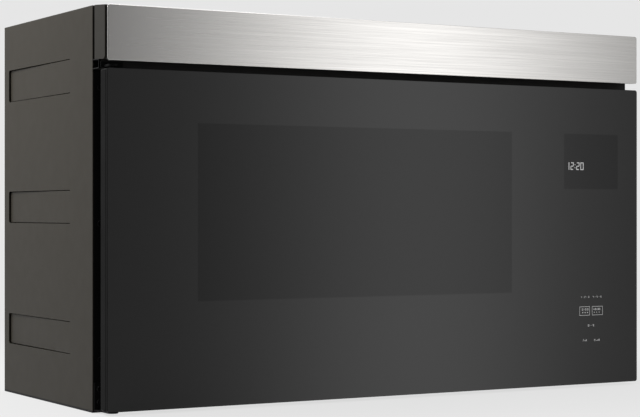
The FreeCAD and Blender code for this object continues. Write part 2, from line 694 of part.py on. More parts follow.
def high_voltage_capacitor():
    """The oval capacitor can standing on the shelf, with two blade terminals."""
    x, y = CAPACITOR_CENTRE
    can = box((x - 17, x + 17), (y - 26, y + 26), (SHELF_Z, SHELF_Z + 82))
    can = can.makeFillet(16.9, edges_along(can, V(0, 0, 1)))
    lid = box((x - 9, x + 9), (y - 16, y + 16), (SHELF_Z + 82, SHELF_Z + 85))
    blades = [box((x - 3, x + 3), (y + end - 0.5, y + end + 0.5), (SHELF_Z + 85, SHELF_Z + 97))
              for end in (-9, 9)]
    return fuse(can, lid, *blades)


def high_voltage_diode():
    """The rod-shaped diode lying on the shelf in its saddle."""
    x, y = 316.0, -92.0
    body = rod(3.5, (x, y - 12, SHELF_Z + 5), (x, y + 12, SHELF_Z + 5))
    saddle = box((x - 5, x + 5), (y - 6, y + 6), (SHELF_Z, SHELF_Z + 5))
    tab = box((x - 5, x + 5), (y + 12, y + 22), (SHELF_Z, SHELF_Z + 7))
    return fuse(body, saddle, tab)


def power_board():
    """The supply board standing on the shelf behind the oven's right side."""
    x, z = 362.0, SHELF_Z
    board = box((x, x + 1.6), (60, 150), (z, z + 110))
    relays = [box((x - 16, x), (68 + 22 * i, 84 + 22 * i), (z + 70, z + 98)) for i in range(3)]
    supply = box((x - 20, x), (66, 98), (z + 20, z + 52))
    cans = [rod(7.0, (x - 16, y, z + 28), (x, y, z + 28)) for y in (112, 130)]
    heatsink = box((x - 12, x), (108, 140), (z + 44, z + 62))
    return fuse(board, supply, heatsink, *relays, *cans)


# ---------------------------------------------------------------- interlock and hinges
def interlock_bracket():
    """The moulded bracket behind the hook windows that carries the three switches."""
    flange = box((226, 264), (PLATE_BACK, PLATE_BACK + 2), (SHELF_Z, 362))
    flange = cut(flange, *hook_windows((PLATE_BACK - 1, PLATE_BACK + 3)))
    web = box((256, 258.5), (PLATE_BACK + 2, -77), (SHELF_Z, 362))
    ribs = [box((233, 256), (PLATE_BACK + 2, -84), (z, z + 2)) for z in (78, 150, 300, 356)]
    return fuse(flange, web, *ribs)


def interlock_switches():
    """Three snap switches on the bracket's web, their buttons facing the hooks."""
    switches = []
    for z in (95.0, 126.0, 335.0):
        body = box((246, 256), (-95, -79), (z - 14, z + 14))
        button = box((249, 253), (-96.5, -95), (z - 6, z - 2))
        tags = [box((250.5, 251.3), (-79, -71), (z + offset, z + offset + 5)) for offset in (-11, -2, 7)]
        switches.append(fuse(body, button, *tags))
    return group(switches)


HINGE_LEG = 2.5
HINGE_EDGE = (-378.0, -351.0)
HINGE_EYE_R = 6.5


def hinge_nose(z_range):
    """A hinge bracket's flat arm, rounded off round the pin."""
    radius = HINGE_EYE_R
    arm = box((HINGE_X - radius, HINGE_X + radius), (HINGE_Y, SLAB_BACK + 3), z_range)
    eye = rod(radius, (HINGE_X, HINGE_Y, z_range[0]), (HINGE_X, HINGE_Y, z_range[1]))
    return fuse(arm, eye)


def lower_hinge_bracket():
    """The angle under the door: a leg on the front plate, an arm and an upright pin."""
    arm_z = (1.9, 3.7)
    nose = hinge_nose(arm_z)
    taper = prism(((HINGE_X - HINGE_EYE_R, SLAB_BACK + 2), (HINGE_X + HINGE_EYE_R, SLAB_BACK + 2),
                   (HINGE_EDGE[1], CASE_FRONT - HINGE_LEG), (HINGE_EDGE[0], CASE_FRONT - HINGE_LEG)),
                  arm_z[0], V(0, 0, arm_z[1] - arm_z[0]))
    leg = box(HINGE_EDGE, (CASE_FRONT - HINGE_LEG, CASE_FRONT), (arm_z[0], 34.0))
    pin = rod(PIN_R, (HINGE_X, HINGE_Y, arm_z[0]), (HINGE_X, HINGE_Y, 16.0))
    collar = rod(5.0, (HINGE_X, HINGE_Y, arm_z[1]), (HINGE_X, HINGE_Y, DOOR_BOTTOM - RUNNING_GAP))
    holes = [rod(SCREW_R, (x, CASE_FRONT - 5, z), (x, CASE_FRONT + 1, z)) for x, z in HINGE_SCREWS]
    return cut(fuse(nose, taper, leg, pin, collar), *holes)


def upper_hinge_bracket():
    """The angle in the gap above the door: a leg on the rail, an arm and a hanging pin."""
    arm_z = (391.6, 394.1)
    nose = hinge_nose(arm_z)
    nose = cut(nose, box((-400, 0), (RAIL_FRONT, 0), (380, 400)))
    leg = box(HINGE_EDGE, (RAIL_FRONT - 2.5, RAIL_FRONT), (arm_z[0], STRIP_BOTTOM - 0.3))
    pin = rod(PIN_R, (HINGE_X, HINGE_Y, 378.5), (HINGE_X, HINGE_Y, arm_z[1]))
    return fuse(nose, leg, pin)


# ---------------------------------------------------------------- hood
SCROLL_TOP = HEIGHT - 6.0    # leaves a gap under the duct outlet


def spiral_profile(offset, top):
    """The blower scroll's outline across X: a spiral of arcs that opens upward."""
    start_angle, end_angle = 120.0, 360.0
    start_r, end_r = WHEEL_R + 4.0, WHEEL_R + 16.0
    points = []
    steps = 8
    for index in range(steps + 1):
        share = index / steps
        angle = math.radians(start_angle + (end_angle - start_angle) * share)
        radius = start_r + (end_r - start_r) * share + offset
        points.append(V(0, BLOWER_Y + radius * math.cos(angle), BLOWER_Z + radius * math.sin(angle)))
    arcs = [Part.Arc(*points[i:i + 3]).toShape() for i in range(0, steps, 2)]
    rest = Part.makePolygon([points[-1], V(0, points[-1].y, top), V(0, points[0].y, top), points[0]])
    return Part.Face(Part.Wire(arcs + rest.Edges))


SCROLL_X = (39.0, 127.0)
INLET_R = 30.0
SCROLL_WALL = 1.2


def blower_scroll(side):
    """One blower housing: a spiral wall and two cheeks with round inlets."""
    near, far = SCROLL_X
    outer = spiral_profile(SCROLL_WALL, SCROLL_TOP).extrude(V(far - near, 0, 0))
    inner = spiral_profile(0.0, SCROLL_TOP + 1).extrude(V(far - near - 2 * SCROLL_WALL, 0, 0))
    inner.translate(V(SCROLL_WALL, 0, 0))
    inlets = rod(INLET_R, (-1, BLOWER_Y, BLOWER_Z), (far - near + 1, BLOWER_Y, BLOWER_Z))
    shell = cut(outer, inner, inlets)
    bottom = CAVITY_Z[1] + SHEET
    feet = [box((x, x + 10), (BLOWER_Y - 12, BLOWER_Y + 12), (bottom, bottom + 3.2)) for x in (4, 74)]
    shell = fuse(shell, *[foot.cut(outer) for foot in feet])
    shell.translate(V(near, 0, 0))
    if side < 0:
        shell = shell.mirror(V(0, 0, 0), V(1, 0, 0))
    return shell


def blower_wheel(side):
    """One squirrel-cage wheel: forward-curved blades between two rims and a middle disc."""
    near = SCROLL_X[0] + 6.0
    far = near + WHEEL_LENGTH
    inner_r = 29.0
    blade_outer = WHEEL_R - 0.4
    lean = 14.0
    thick = 0.7

    def on_circle(radius, degrees):
        angle = math.radians(degrees)
        return V(near, BLOWER_Y + radius * math.cos(angle), BLOWER_Z + radius * math.sin(angle))

    def blade_face(start):
        middle_r = (inner_r + blade_outer) / 2
        turn = math.degrees(thick / middle_r)
        bow = lean * 0.28
        front = Part.Arc(on_circle(inner_r, start), on_circle(middle_r, start + bow),
                         on_circle(blade_outer, start + lean)).toShape()
        back = Part.Arc(on_circle(inner_r, start + turn), on_circle(middle_r, start + bow + turn),
                        on_circle(blade_outer, start + lean + turn)).toShape()
        inside = Part.makeLine(on_circle(inner_r, start), on_circle(inner_r, start + turn))
        outside = Part.makeLine(on_circle(blade_outer, start + lean),
                                on_circle(blade_outer, start + lean + turn))
        return Part.Face(Part.Wire(Part.__sortEdges__([front, outside, back, inside])))

    blades = [blade_face(360.0 * i / WHEEL_BLADES).extrude(V(WHEEL_LENGTH, 0, 0))
              for i in range(WHEEL_BLADES)]
    rims = []
    for x in (near, far - 3.0):
        rim = rod(WHEEL_R, (x, BLOWER_Y, BLOWER_Z), (x + 3.0, BLOWER_Y, BLOWER_Z))
        rims.append(rim.cut(rod(inner_r - 0.6, (x - 1, BLOWER_Y, BLOWER_Z),
                                (x + 4, BLOWER_Y, BLOWER_Z))))
    middle = (near + far) / 2
    disc = rod(WHEEL_R - 0.2, (middle - 1, BLOWER_Y, BLOWER_Z), (middle + 1, BLOWER_Y, BLOWER_Z))
    hub = rod(8.0, (middle - 9, BLOWER_Y, BLOWER_Z), (middle + 9, BLOWER_Y, BLOWER_Z))
    bore = rod(SHAFT_R, (near, BLOWER_Y, BLOWER_Z), (far, BLOWER_Y, BLOWER_Z))
    wheel = cut(fuse(disc, hub, *rims, *blades), bore)
    if side < 0:
        wheel = wheel.mirror(V(0, 0, 0), V(1, 0, 0))
    return wheel


SHAFT_R = 4.0


def blower_shaft():
    """The shaft through the motor that carries both wheels."""
    end = SCROLL_X[0] + 6.0 + WHEEL_LENGTH / 2 + 12.0
    return rod(SHAFT_R, (-end, BLOWER_Y, BLOWER_Z), (end, BLOWER_Y, BLOWER_Z))


def blower_motor():
    """The motor between the scrolls, held on three arms at each end."""
    can = rod(33.0, (-31, BLOWER_Y, BLOWER_Z), (31, BLOWER_Y, BLOWER_Z))
    can = can.makeChamfer(3.0, [edge for edge in can.Edges if isinstance(edge.Curve, Part.Circle)])
    bells = rod(14.0, (-36, BLOWER_Y, BLOWER_Z), (36, BLOWER_Y, BLOWER_Z))
    near = SCROLL_X[0]
    arms = []
    for index in range(3):
        arm = box((-near, near), (BLOWER_Y - 4, BLOWER_Y + 4), (BLOWER_Z + 31.5, BLOWER_Z + 38.0))
        arm.rotate(V(0, BLOWER_Y, BLOWER_Z), V(1, 0, 0), 60 + 120 * index)
        arms.append(arm)
    bore = rod(SHAFT_R + RUNNING_GAP, (-40, BLOWER_Y, BLOWER_Z), (40, BLOWER_Y, BLOWER_Z))
    return cut(fuse(can, bells, *arms), bore)


def grease_filter(side):
    """A removable filter: a framed mesh pad that rests on the rims of its opening."""
    width, length, height = FILTER_SIZE
    middle = side * FILTER_CENTRE_X
    front = FILTER_OPENING_Y - 5.0
    bottom = PLATE
    frame = box((middle - width / 2, middle + width / 2), (front, front + length),
                (bottom, bottom + height))
    frame = frame.makeFillet(2.0, edges_along(frame, V(0, 0, 1)))
    wells = [box((middle - width / 2 + 10, middle + width / 2 - 10), (front + 12, front + length - 12),
                 z_range) for z_range in ((bottom - 1, bottom + 1.5), (bottom + 5.5, bottom + height + 1))]
    pull = box((middle - 14, middle + 14), (front + 14, front + 26), (bottom + 0.2, bottom + 1.6))
    return fuse(cut(frame, *wells), pull)


def cooktop_light_lens():
    """The clear lens in the underside that lights the cooktop, with a flange inside."""
    lens = box((LENS_X[0] + 0.3, LENS_X[1] - 0.3), (LENS_Y[0] + 0.3, LENS_Y[1] - 0.3), (0.2, PLATE))
    flange = box((LENS_X[0] - 6, LENS_X[1] + 6), (LENS_Y[0] - 6, LENS_Y[1] + 6), (PLATE, PLATE + 2))
    return fuse(lens, flange)


# ---------------------------------------------------------------- door
def slab_outline(y_range, inset=0.0):
    """The door's full outline, with rounded corners, over a depth range."""
    return rounded_slab((-HALF_W + inset, HALF_W - inset), y_range,
                        (DOOR_BOTTOM + inset, DOOR_TOP - inset), CORNER_R)


def door_glass():
    """The full-width outer glass with ground edges."""
    glass = slab_outline((FRONT, GLASS_BACK))
    front_rim = [edge for edge in glass.Edges if abs(edge.CenterOfMass.y - FRONT) < 0.01]
    return glass.makeChamfer(0.6, front_rim)


def bonding_tape():
    """The thin adhesive ring between the glass and the frame."""
    inset = 1.5
    ring = slab_outline((GLASS_BACK, FRAME_FRONT), inset)
    hole = box((-HALF_W + 11, HALF_W - 11), (GLASS_BACK - 1, FRAME_FRONT + 1),
               (DOOR_BOTTOM + 11, DOOR_TOP - 11))
    return cut(ring, hole)


RIM_STEP = (2.0, 3.2)    # how far the rim's back edge is stepped in, and how deep


def door_frame():
    """The moulded frame: a bay for the door plate, the latch channel and the control bay.

    Its rim is stepped in behind, so that the door looks thinner than it is.
    """
    frame = fuse(slab_outline((FRAME_FRONT, SLAB_BACK - RIM_STEP[1])),
                 slab_outline((FRAME_FRONT, SLAB_BACK), RIM_STEP[0]))
    rims = [edge for edge in frame.Edges if abs(edge.CenterOfMass.y - FRAME_FRONT) < 0.01]
    frame = frame.makeChamfer(0.7, rims)
    behind = SLAB_BACK + 1
    tools = [box(BAY_X, (POCKET_FRONT, behind), BAY_Z),
             box(WINDOW_X, (FRAME_FRONT - 1, behind), WINDOW_Z),
             box(CHANNEL_X, (POCKET_FRONT, behind), CHANNEL_Z),
             box(CONTROL_X, (FRAME_FRONT - 1, behind), CONTROL_Z)]
    for z_range in ((DOOR_BOTTOM - 1, BUSH_Z[0]), (BUSH_Z[1], DOOR_TOP + 1)):
        tools.append(rod(BUSH_R, (HINGE_X, HINGE_Y, z_range[0]), (HINGE_X, HINGE_Y, z_range[1])))
    return cut(frame, *tools, *control_screw_holes())


BUSH_R = 5.0
BUSH_Z = (17.5, 377.0)


def hinge_bushes():
    """Two plain bearings pressed into the frame, one for each hinge pin."""
    bushes = []
    for z_range in ((DOOR_BOTTOM, BUSH_Z[0]), (BUSH_Z[1], DOOR_TOP)):
        bush = rod(BUSH_R, (HINGE_X, HINGE_Y, z_range[0]), (HINGE_X, HINGE_Y, z_range[1]))
        bore = rod(PIN_R + RUNNING_GAP, (HINGE_X, HINGE_Y, z_range[0] - 1),
                   (HINGE_X, HINGE_Y, z_range[1] + 1))
        bushes.append(cut(bush, bore))
    return group(bushes)


def door_plate():
    """The pressed steel plate of the door: a web with the screen, and a deep skirt."""
    x_range = (BAY_X[0] + 2, BAY_X[1] - 2)
    z_range = (BAY_Z[0] + 2, BAY_Z[1] - 2)
    web = box(x_range, (POCKET_FRONT, POCKET_FRONT + SHEET), z_range)
    skirt = ring_box(x_range, (POCKET_FRONT, COVER_INNER - 1), z_range, SHEET)
    return fuse(web, skirt)


CHOKE_X = (-304.0, 196.0)
CHOKE_Z = (86.0, 344.0)
CHOKE_LIP = 26.0
TOOTH_PITCH = 24.0
TOOTH_SLOT = 5.0


def choke_ring():
    """The microwave choke round the window: a wall whose outer lip is cut into teeth."""
    plate_back = POCKET_FRONT + SHEET
    lip_y = (COVER_INNER - 2, COVER_INNER - 1)
    wall = ring_box(CHOKE_X, (plate_back, lip_y[1]), CHOKE_Z, SHEET)
    foot = ring_box((CHOKE_X[0] - 12, CHOKE_X[1] + 12), (plate_back, plate_back + SHEET),
                    (CHOKE_Z[0] - 12, CHOKE_Z[1] + 12), 13.0)
    lip = ring_box((CHOKE_X[0] - CHOKE_LIP, CHOKE_X[1] + CHOKE_LIP), lip_y,
                   (CHOKE_Z[0] - CHOKE_LIP, CHOKE_Z[1] + CHOKE_LIP), CHOKE_LIP + SHEET)
    slots = []
    across = (lip_y[0] - 1, lip_y[1] + 1)
    count_x = int((CHOKE_X[1] - CHOKE_X[0]) / TOOTH_PITCH)
    for index in range(count_x):
        x = CHOKE_X[0] + (index + 0.5) * TOOTH_PITCH
        slots.append(box((x, x + TOOTH_SLOT), across, (CHOKE_Z[1] + 1, CHOKE_Z[1] + 40)))
        slots.append(box((x, x + TOOTH_SLOT), across, (CHOKE_Z[0] - 40, CHOKE_Z[0] - 1)))
    count_z = int((CHOKE_Z[1] - CHOKE_Z[0]) / TOOTH_PITCH)
    for index in range(count_z):
        z = CHOKE_Z[0] + (index + 0.5) * TOOTH_PITCH
        slots.append(box((CHOKE_X[1] + 1, CHOKE_X[1] + 40), across, (z, z + TOOTH_SLOT)))
        slots.append(box((CHOKE_X[0] - 40, CHOKE_X[0] - 1), across, (z, z + TOOTH_SLOT)))
    return cut(fuse(wall, foot, lip), *slots)


def inner_glass():
    """The inner pane behind the screen, held against the choke cover."""
    return box((WINDOW_X[0] - 10, WINDOW_X[1] + 10), (COVER_INNER - 3, COVER_INNER),
               (WINDOW_Z[0] - 10, WINDOW_Z[1] + 5))


COVER_X = (-340.0, 250.0)
COVER_Z = (50.0, 380.0)


def choke_cover():
    """The black moulded cover on the door's back, round the window and over the latch."""
    cover = rounded_slab(COVER_X, (SLAB_BACK, COVER_BACK), COVER_Z, 8.0)
    rims = [edge for edge in cover.Edges if abs(edge.CenterOfMass.y - COVER_BACK) < 0.01]
    cover = cover.makeChamfer(1.0, rims)
    hollow = box((COVER_X[0] + 2, COVER_X[1] - 2), (SLAB_BACK - 1, COVER_INNER),
                 (COVER_Z[0] + 2, COVER_Z[1] - 2))
    hollow = hollow.makeFillet(6.0, edges_along(hollow, V(0, 1, 0)))
    window = box(WINDOW_X, (COVER_INNER - 1, COVER_BACK + 1), WINDOW_Z)
    window = window.makeFillet(8.0, edges_along(window, V(0, 1, 0)))
    slots = [box((CHANNEL_X[0] - 0.7, CHANNEL_X[1] + 0.7), (COVER_INNER - 1, COVER_BACK + 1),
                 (z - 2, z + 18)) for z in HOOK_Z]
    return cut(cover, hollow, window, *slots)


CONTROL_COVER_X = (252.5, 362.0)
CONTROL_COVER_Z = (36.0, 349.0)
CONTROL_COVER_BACK = -131.0
BOARD_Y = (-150.5, -149.0)


CONTROL_SCREW_X = 359.2
CONTROL_SCREW_Z = (70.0, 190.0, 320.0)


def control_screw_holes():
    """The holes through the control cover and into the frame."""
    return [rod(SCREW_R, (CONTROL_SCREW_X, -150.0, z), (CONTROL_SCREW_X, CONTROL_COVER_BACK + 1, z))
            for z in CONTROL_SCREW_Z]


def control_cover():
    """The cover behind the controls: a shallow box with bosses for the board."""
    shell = rounded_slab(CONTROL_COVER_X, (SLAB_BACK, CONTROL_COVER_BACK), CONTROL_COVER_Z, 6.0)
    rims = [edge for edge in shell.Edges if abs(edge.CenterOfMass.y - CONTROL_COVER_BACK) < 0.01]
    shell = shell.makeFillet(2.0, rims)
    hollow = box((CONTROL_COVER_X[0] + 2, CONTROL_COVER_X[1] - 6),
                 (SLAB_BACK - 1, CONTROL_COVER_BACK - 2),
                 (CONTROL_COVER_Z[0] + 6, CONTROL_COVER_Z[1] - 6))
    shell = cut(shell, hollow)
    bosses = [rod(3.5, (x, BOARD_Y[1], z), (x, CONTROL_COVER_BACK - 1, z))
              for x in (262.0, 348.0) for z in (60.0, 190.0, 325.0)]
    return cut(fuse(shell, *bosses), *control_screw_holes())


def control_board():
    """The circuit board behind the glass, with its chips and plugs."""
    board = box((256, 354), BOARD_Y, (46, 338))
    chips = [box((290, 318), (BOARD_Y[1], BOARD_Y[1] + 2), (150, 178)),
             box((275, 300), (BOARD_Y[1], BOARD_Y[1] + 9), (210, 222)),
             box((310, 338), (BOARD_Y[1], BOARD_Y[1] + 9), (210, 222)),
             box((285, 325), (BOARD_Y[1], BOARD_Y[1] + 5), (80, 90))]
    return fuse(board, *chips)


def display_module():
    """The display block between the board and the glass."""
    body = box((258.2, 346.8), (FRAME_FRONT + 0.2, BOARD_Y[0]), (258.0, 329.5))
    return body


def touch_film():
    """The printed touch film bonded behind the glass, over the control bay."""
    return box((276, 332), (GLASS_BACK, GLASS_BACK + 0.3), (50, 130))


def door_screws():
    """Screws that hold the control cover to the frame."""
    return group([screw((CONTROL_SCREW_X, CONTROL_COVER_BACK, z), (0, -1, 0), 18.0, 2.6)
                  for z in CONTROL_SCREW_Z])


def latch_slider():
    """The sprung bar in the door with its two hooks, in one moulding."""
    x_range = (CHANNEL_X[0] + 0.3, CHANNEL_X[1] - 0.3)
    bar = box(x_range, (POCKET_FRONT + 0.7, -146.5), (CHANNEL_Z[0], 356.0))
    hooks = []
    for z in HOOK_Z:
        outline = ((-147.0, z + 3), (-112.0, z + 4), (-110.0, z), (-102.0, z), (-98.0, z + 5),
                   (-98.0, z + 9), (-104.0, z + 13), (-147.0, z + 14))
        hooks.append(prism(outline, x_range[0], V(x_range[1] - x_range[0], 0, 0)))
    return fuse(bar, *hooks)


SPRING_R = 2.3
SPRING_WIRE_R = 0.4
SPRING_TURNS = 6


def latch_spring():
    """The coil spring that presses the latch slider down from the channel's top."""
    x = (CHANNEL_X[0] + CHANNEL_X[1]) / 2
    y = (POCKET_FRONT + SLAB_BACK) / 2 - 1.0
    bottom, top = 356.0, CHANNEL_Z[1]
    height = top - bottom - 2 * SPRING_WIRE_R
    path = Part.makeHelix(height / SPRING_TURNS, height, SPRING_R)
    corners = [V(SPRING_R + SPRING_WIRE_R * math.cos(math.radians(60 * i)), 0,
                 SPRING_WIRE_R * math.sin(math.radians(60 * i))) for i in range(6)]
    section = Part.makePolygon(corners + [corners[0]])
    coil = Part.Wire(path).makePipeShell([section], True, False)
    coil.translate(V(x, y, bottom + SPRING_WIRE_R))
    return coil


NODES = {
    "side_panel_left": lambda: side_panel(-1),
    "side_panel_right": lambda: side_panel(1),
    "top_panel": top_panel,
    "rear_panel": rear_panel,
    "base_plate": base_plate,
    "front_plate": front_plate,
    "upper_rail": upper_rail,
    "case_screws": case_screws,
    "mounting_nuts": mounting_nuts,
    "cord_bushing": cord_bushing,
    "trim_strip": trim_strip,
    "strip_carrier": strip_carrier,
    "vent_cowl": vent_cowl,
    "vent_louvres": vent_louvres,
    "plenum_seal": plenum_seal,
    "charcoal_filter": charcoal_filter,
    "cavity_wrapper": cavity_wrapper,
    "cavity_back": cavity_back,
    "cavity_floor_pan": cavity_floor_pan,
    "ceramic_floor": ceramic_floor,
    "cavity_lamp": cavity_lamp,
    "waveguide": waveguide,
    "stirrer_antenna": stirrer_antenna,
    "stirrer_motor": stirrer_motor,
    "magnetron": magnetron,
    "component_shelf": component_shelf,
    "cooling_fan_frame": cooling_fan_frame,
    "cooling_fan_rotor": cooling_fan_rotor,
    "high_voltage_transformer": high_voltage_transformer,
    "high_voltage_capacitor": high_voltage_capacitor,
    "high_voltage_diode": high_voltage_diode,
    "power_board": power_board,
    "interlock_bracket": interlock_bracket,
    "interlock_switches": interlock_switches,
    "lower_hinge_bracket": lower_hinge_bracket,
    "upper_hinge_bracket": upper_hinge_bracket,
    "blower_scroll_left": lambda: blower_scroll(-1),
    "blower_scroll_right": lambda: blower_scroll(1),
    "blower_motor": blower_motor,
    "blower_shaft": blower_shaft,
    "blower_wheel_left": lambda: blower_wheel(-1),
    "blower_wheel_right": lambda: blower_wheel(1),
    "grease_filter_left": lambda: grease_filter(-1),
    "grease_filter_right": lambda: grease_filter(1),
    "cooktop_light_lens": cooktop_light_lens,
    "door_glass": door_glass,
    "bonding_tape": bonding_tape,
    "door_frame": door_frame,
    "hinge_bushes": hinge_bushes,
    "door_plate": door_plate,
    "choke_ring": choke_ring,
    "inner_glass": inner_glass,
    "choke_cover": choke_cover,
    "control_cover": control_cover,
    "control_board": control_board,
    "display_module": display_module,
    "touch_film": touch_film,
    "door_screws": door_screws,
    "latch_slider": latch_slider,
    "latch_spring": latch_spring,
}


def main():
    """Build every piece and write it to its own file."""
    os.makedirs("parts", exist_ok=True)
    for name, build in NODES.items():
        shape = build()
        solids = len(shape.Solids)
        valid = shape.isValid()
        print(f"{name}: {solids} solid(s), {shape.Volume / 1000:.1f} cm3, valid {valid}")
        shape.exportStep(f"parts/{name}.step")


main()
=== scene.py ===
"""The looks of an over the range microwave with a vent hood.

Metres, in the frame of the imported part: +X is right, +Y is back, +Z is up, and the glass
front faces -Y. Each class is one sub-assembly: it holds its sizes and dresses its pieces.
"""

import logging
import math
from dataclasses import dataclass, field, replace
from enum import Enum
from typing import Callable

import bmesh
import bpy
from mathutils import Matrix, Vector
from mathutils.geometry import delaunay_2d_cdt


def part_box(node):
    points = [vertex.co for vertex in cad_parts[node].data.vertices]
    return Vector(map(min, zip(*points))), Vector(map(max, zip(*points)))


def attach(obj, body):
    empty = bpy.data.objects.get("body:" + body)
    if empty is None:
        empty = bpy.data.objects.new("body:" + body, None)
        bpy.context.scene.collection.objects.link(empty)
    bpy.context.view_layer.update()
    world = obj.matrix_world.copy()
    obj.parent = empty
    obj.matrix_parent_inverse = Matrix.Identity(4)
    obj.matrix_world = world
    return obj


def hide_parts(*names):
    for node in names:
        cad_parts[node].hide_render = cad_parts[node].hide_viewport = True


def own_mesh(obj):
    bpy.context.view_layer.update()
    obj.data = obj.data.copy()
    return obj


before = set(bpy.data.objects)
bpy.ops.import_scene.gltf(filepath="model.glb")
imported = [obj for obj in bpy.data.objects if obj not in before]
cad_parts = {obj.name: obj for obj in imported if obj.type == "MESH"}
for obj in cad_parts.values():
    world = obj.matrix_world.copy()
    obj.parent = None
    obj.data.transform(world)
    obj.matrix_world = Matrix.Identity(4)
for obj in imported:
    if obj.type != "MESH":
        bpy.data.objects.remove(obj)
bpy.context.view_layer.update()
LOG = logging.getLogger("microwave")
MM = 0.001

Triple = tuple[float, float, float]
Colour = Triple
Point = tuple[float, float]
Outline = list[Point]
Socket = bpy.types.NodeSocket


class Axis(Enum):
    """The direction that a grain or a row of lines follows."""

    X = 0
    Y = 1
    Z = 2


class Ink(Enum):
    """What a region of the front glass is printed with or ground to, by material index."""

    BORDER = 0
    WINDOW = 1
    DISPLAY = 2
    MARK = 3
    DIGIT = 4
    EDGE = 5


# ---------------------------------------------------------------- node graphs
class Graph:
    """The node tree of a material or of the world, with a short method for each kind of node."""

    def __init__(self, owner: bpy.types.Material | bpy.types.World) -> None:
        """Starts on the nodes that a new material or world has.

        Args:
            owner: The material or the world.
        """
        owner.use_nodes = True
        self.owner = owner
        self.nodes = owner.node_tree.nodes
        self.links = owner.node_tree.links
        self.shader = self.nodes.get("Principled BSDF")
        self.output = next(node for node in self.nodes if node.type.startswith("OUTPUT"))

    def node(self, kind: str, **settings: object) -> bpy.types.Node:
        """Adds a node.

        Args:
            kind: The node's type name.
            settings: Properties to set on it.

        Returns:
            The new node.
        """
        made = self.nodes.new(kind)
        for key, value in settings.items():
            setattr(made, key, value)
        return made

    def feed(self, target: Socket, value: object) -> None:
        """Links a socket into an input, or sets the input to a plain value.

        Args:
            target: The input.
            value: A socket or a plain value.
        """
        if isinstance(value, bpy.types.NodeSocket):
            self.links.new(value, target)
        else:
            target.default_value = value

    def place(self, stretch: Triple = (1.0, 1.0, 1.0)) -> Socket:
        """The point on the piece in metres, stretched along the axes.

        Args:
            stretch: The factor along each axis.

        Returns:
            The vector socket.
        """
        where = self.node("ShaderNodeTexCoord").outputs["Object"]
        if stretch == (1.0, 1.0, 1.0):
            return where
        mapping = self.node("ShaderNodeMapping")
        self.feed(mapping.inputs["Vector"], where)
        mapping.inputs["Scale"].default_value = stretch
        return mapping.outputs["Vector"]

    def part(self, axis: Axis) -> Socket:
        """One coordinate of the point on the piece, in metres.

        Args:
            axis: Which one.

        Returns:
            The value's socket.
        """
        split = self.node("ShaderNodeSeparateXYZ")
        self.feed(split.inputs[0], self.place())
        return split.outputs[axis.value]

    def noise(self, scale: float, detail: float = 2.0, stretch: Triple = (1.0, 1.0, 1.0)) -> Socket:
        """Cloudy noise from 0 to 1.

        Args:
            scale: Waves to the metre.
            detail: How many finer layers it has.
            stretch: The factor along each axis.

        Returns:
            The value socket.
        """
        made = self.node("ShaderNodeTexNoise")
        self.feed(made.inputs["Vector"], self.place(stretch))
        made.inputs["Scale"].default_value = scale
        made.inputs["Detail"].default_value = detail
        return made.outputs[0]

    def cells(self, scale: float, edges: bool = False) -> bpy.types.Node:
        """A cell pattern.

        Args:
            scale: Cells to the metre.
            edges: Whether the distance is to the cell's edge and not to its middle.

        Returns:
            The pattern's node.
        """
        feature = "DISTANCE_TO_EDGE" if edges else "F1"
        made = self.node("ShaderNodeTexVoronoi", feature=feature)
        self.feed(made.inputs["Vector"], self.place())
        made.inputs["Scale"].default_value = scale
        return made

    def maths(self, operation: str, first: object, second: object = 0.0) -> Socket:
        """One sum on numbers.

        Args:
            operation: The sum's name.
            first: A socket or a number.
            second: A socket or a number.

        Returns:
            The result's socket.
        """
        made = self.node("ShaderNodeMath", operation=operation)
        self.feed(made.inputs[0], first)
        self.feed(made.inputs[1], second)
        return made.outputs[0]

    def ripple(self, axis: Axis, pitch: float) -> Socket:
        """A wave along one axis, from -1 to 1.

        Args:
            axis: The axis.
            pitch: The length of one wave in metres.

        Returns:
            The wave's socket.
        """
        return self.maths("SINE", self.maths("MULTIPLY", self.part(axis), math.tau / pitch))

    def dots(self, first: Axis, second: Axis, pitch: float) -> Socket:
        """Staggered dots over two axes, 1 in the middle of each.

        Args:
            first: One axis.
            second: The other axis.
            pitch: The length of one wave along each, in metres.

        Returns:
            The dots' socket, from -1 to 1.
        """
        return self.maths("MULTIPLY", self.ripple(first, pitch), self.ripple(second, pitch))

    def between(self, value: Socket, low: float, high: float) -> Socket:
        """1 where a value lies between two limits, else 0.

        Args:
            value: The value's socket.
            low: The lower limit.
            high: The upper limit.

        Returns:
            The mask's socket.
        """
        above = self.maths("GREATER_THAN", value, low)
        below = self.maths("LESS_THAN", value, high)
        return self.maths("MULTIPLY", above, below)

    def spread(self, value: Socket, low: float, high: float, to_low: float, to_high: float) -> Socket:
        """A value moved from one range to another, held at its ends.

        Args:
            value: The value's socket.
            low: The start of the range it comes from.
            high: The end of that range.
            to_low: What the start becomes.
            to_high: What the end becomes.

        Returns:
            The result's socket.
        """
        made = self.node("ShaderNodeMapRange")
        self.feed(made.inputs["Value"], value)
        for name, number in (("From Min", low), ("From Max", high), ("To Min", to_low), ("To Max", to_high)):
            made.inputs[name].default_value = number
        return made.outputs[0]

    def mix(self, share: object, first: object, second: object) -> Socket:
        """A colour between two colours.

        Args:
            share: How much of the second it has.
            first: A socket or a colour.
            second: A socket or a colour.

        Returns:
            The colour's socket.
        """
        made = self.node("ShaderNodeMix", data_type="RGBA")
        for name, value in (("Factor_Float", share), ("A_Color", first), ("B_Color", second)):
            target = next(s for s in made.inputs if s.identifier == name)
            if isinstance(value, tuple):
                value = (*value, 1.0)
            self.feed(target, value)
        return next(s for s in made.outputs if s.identifier == "Result_Color")

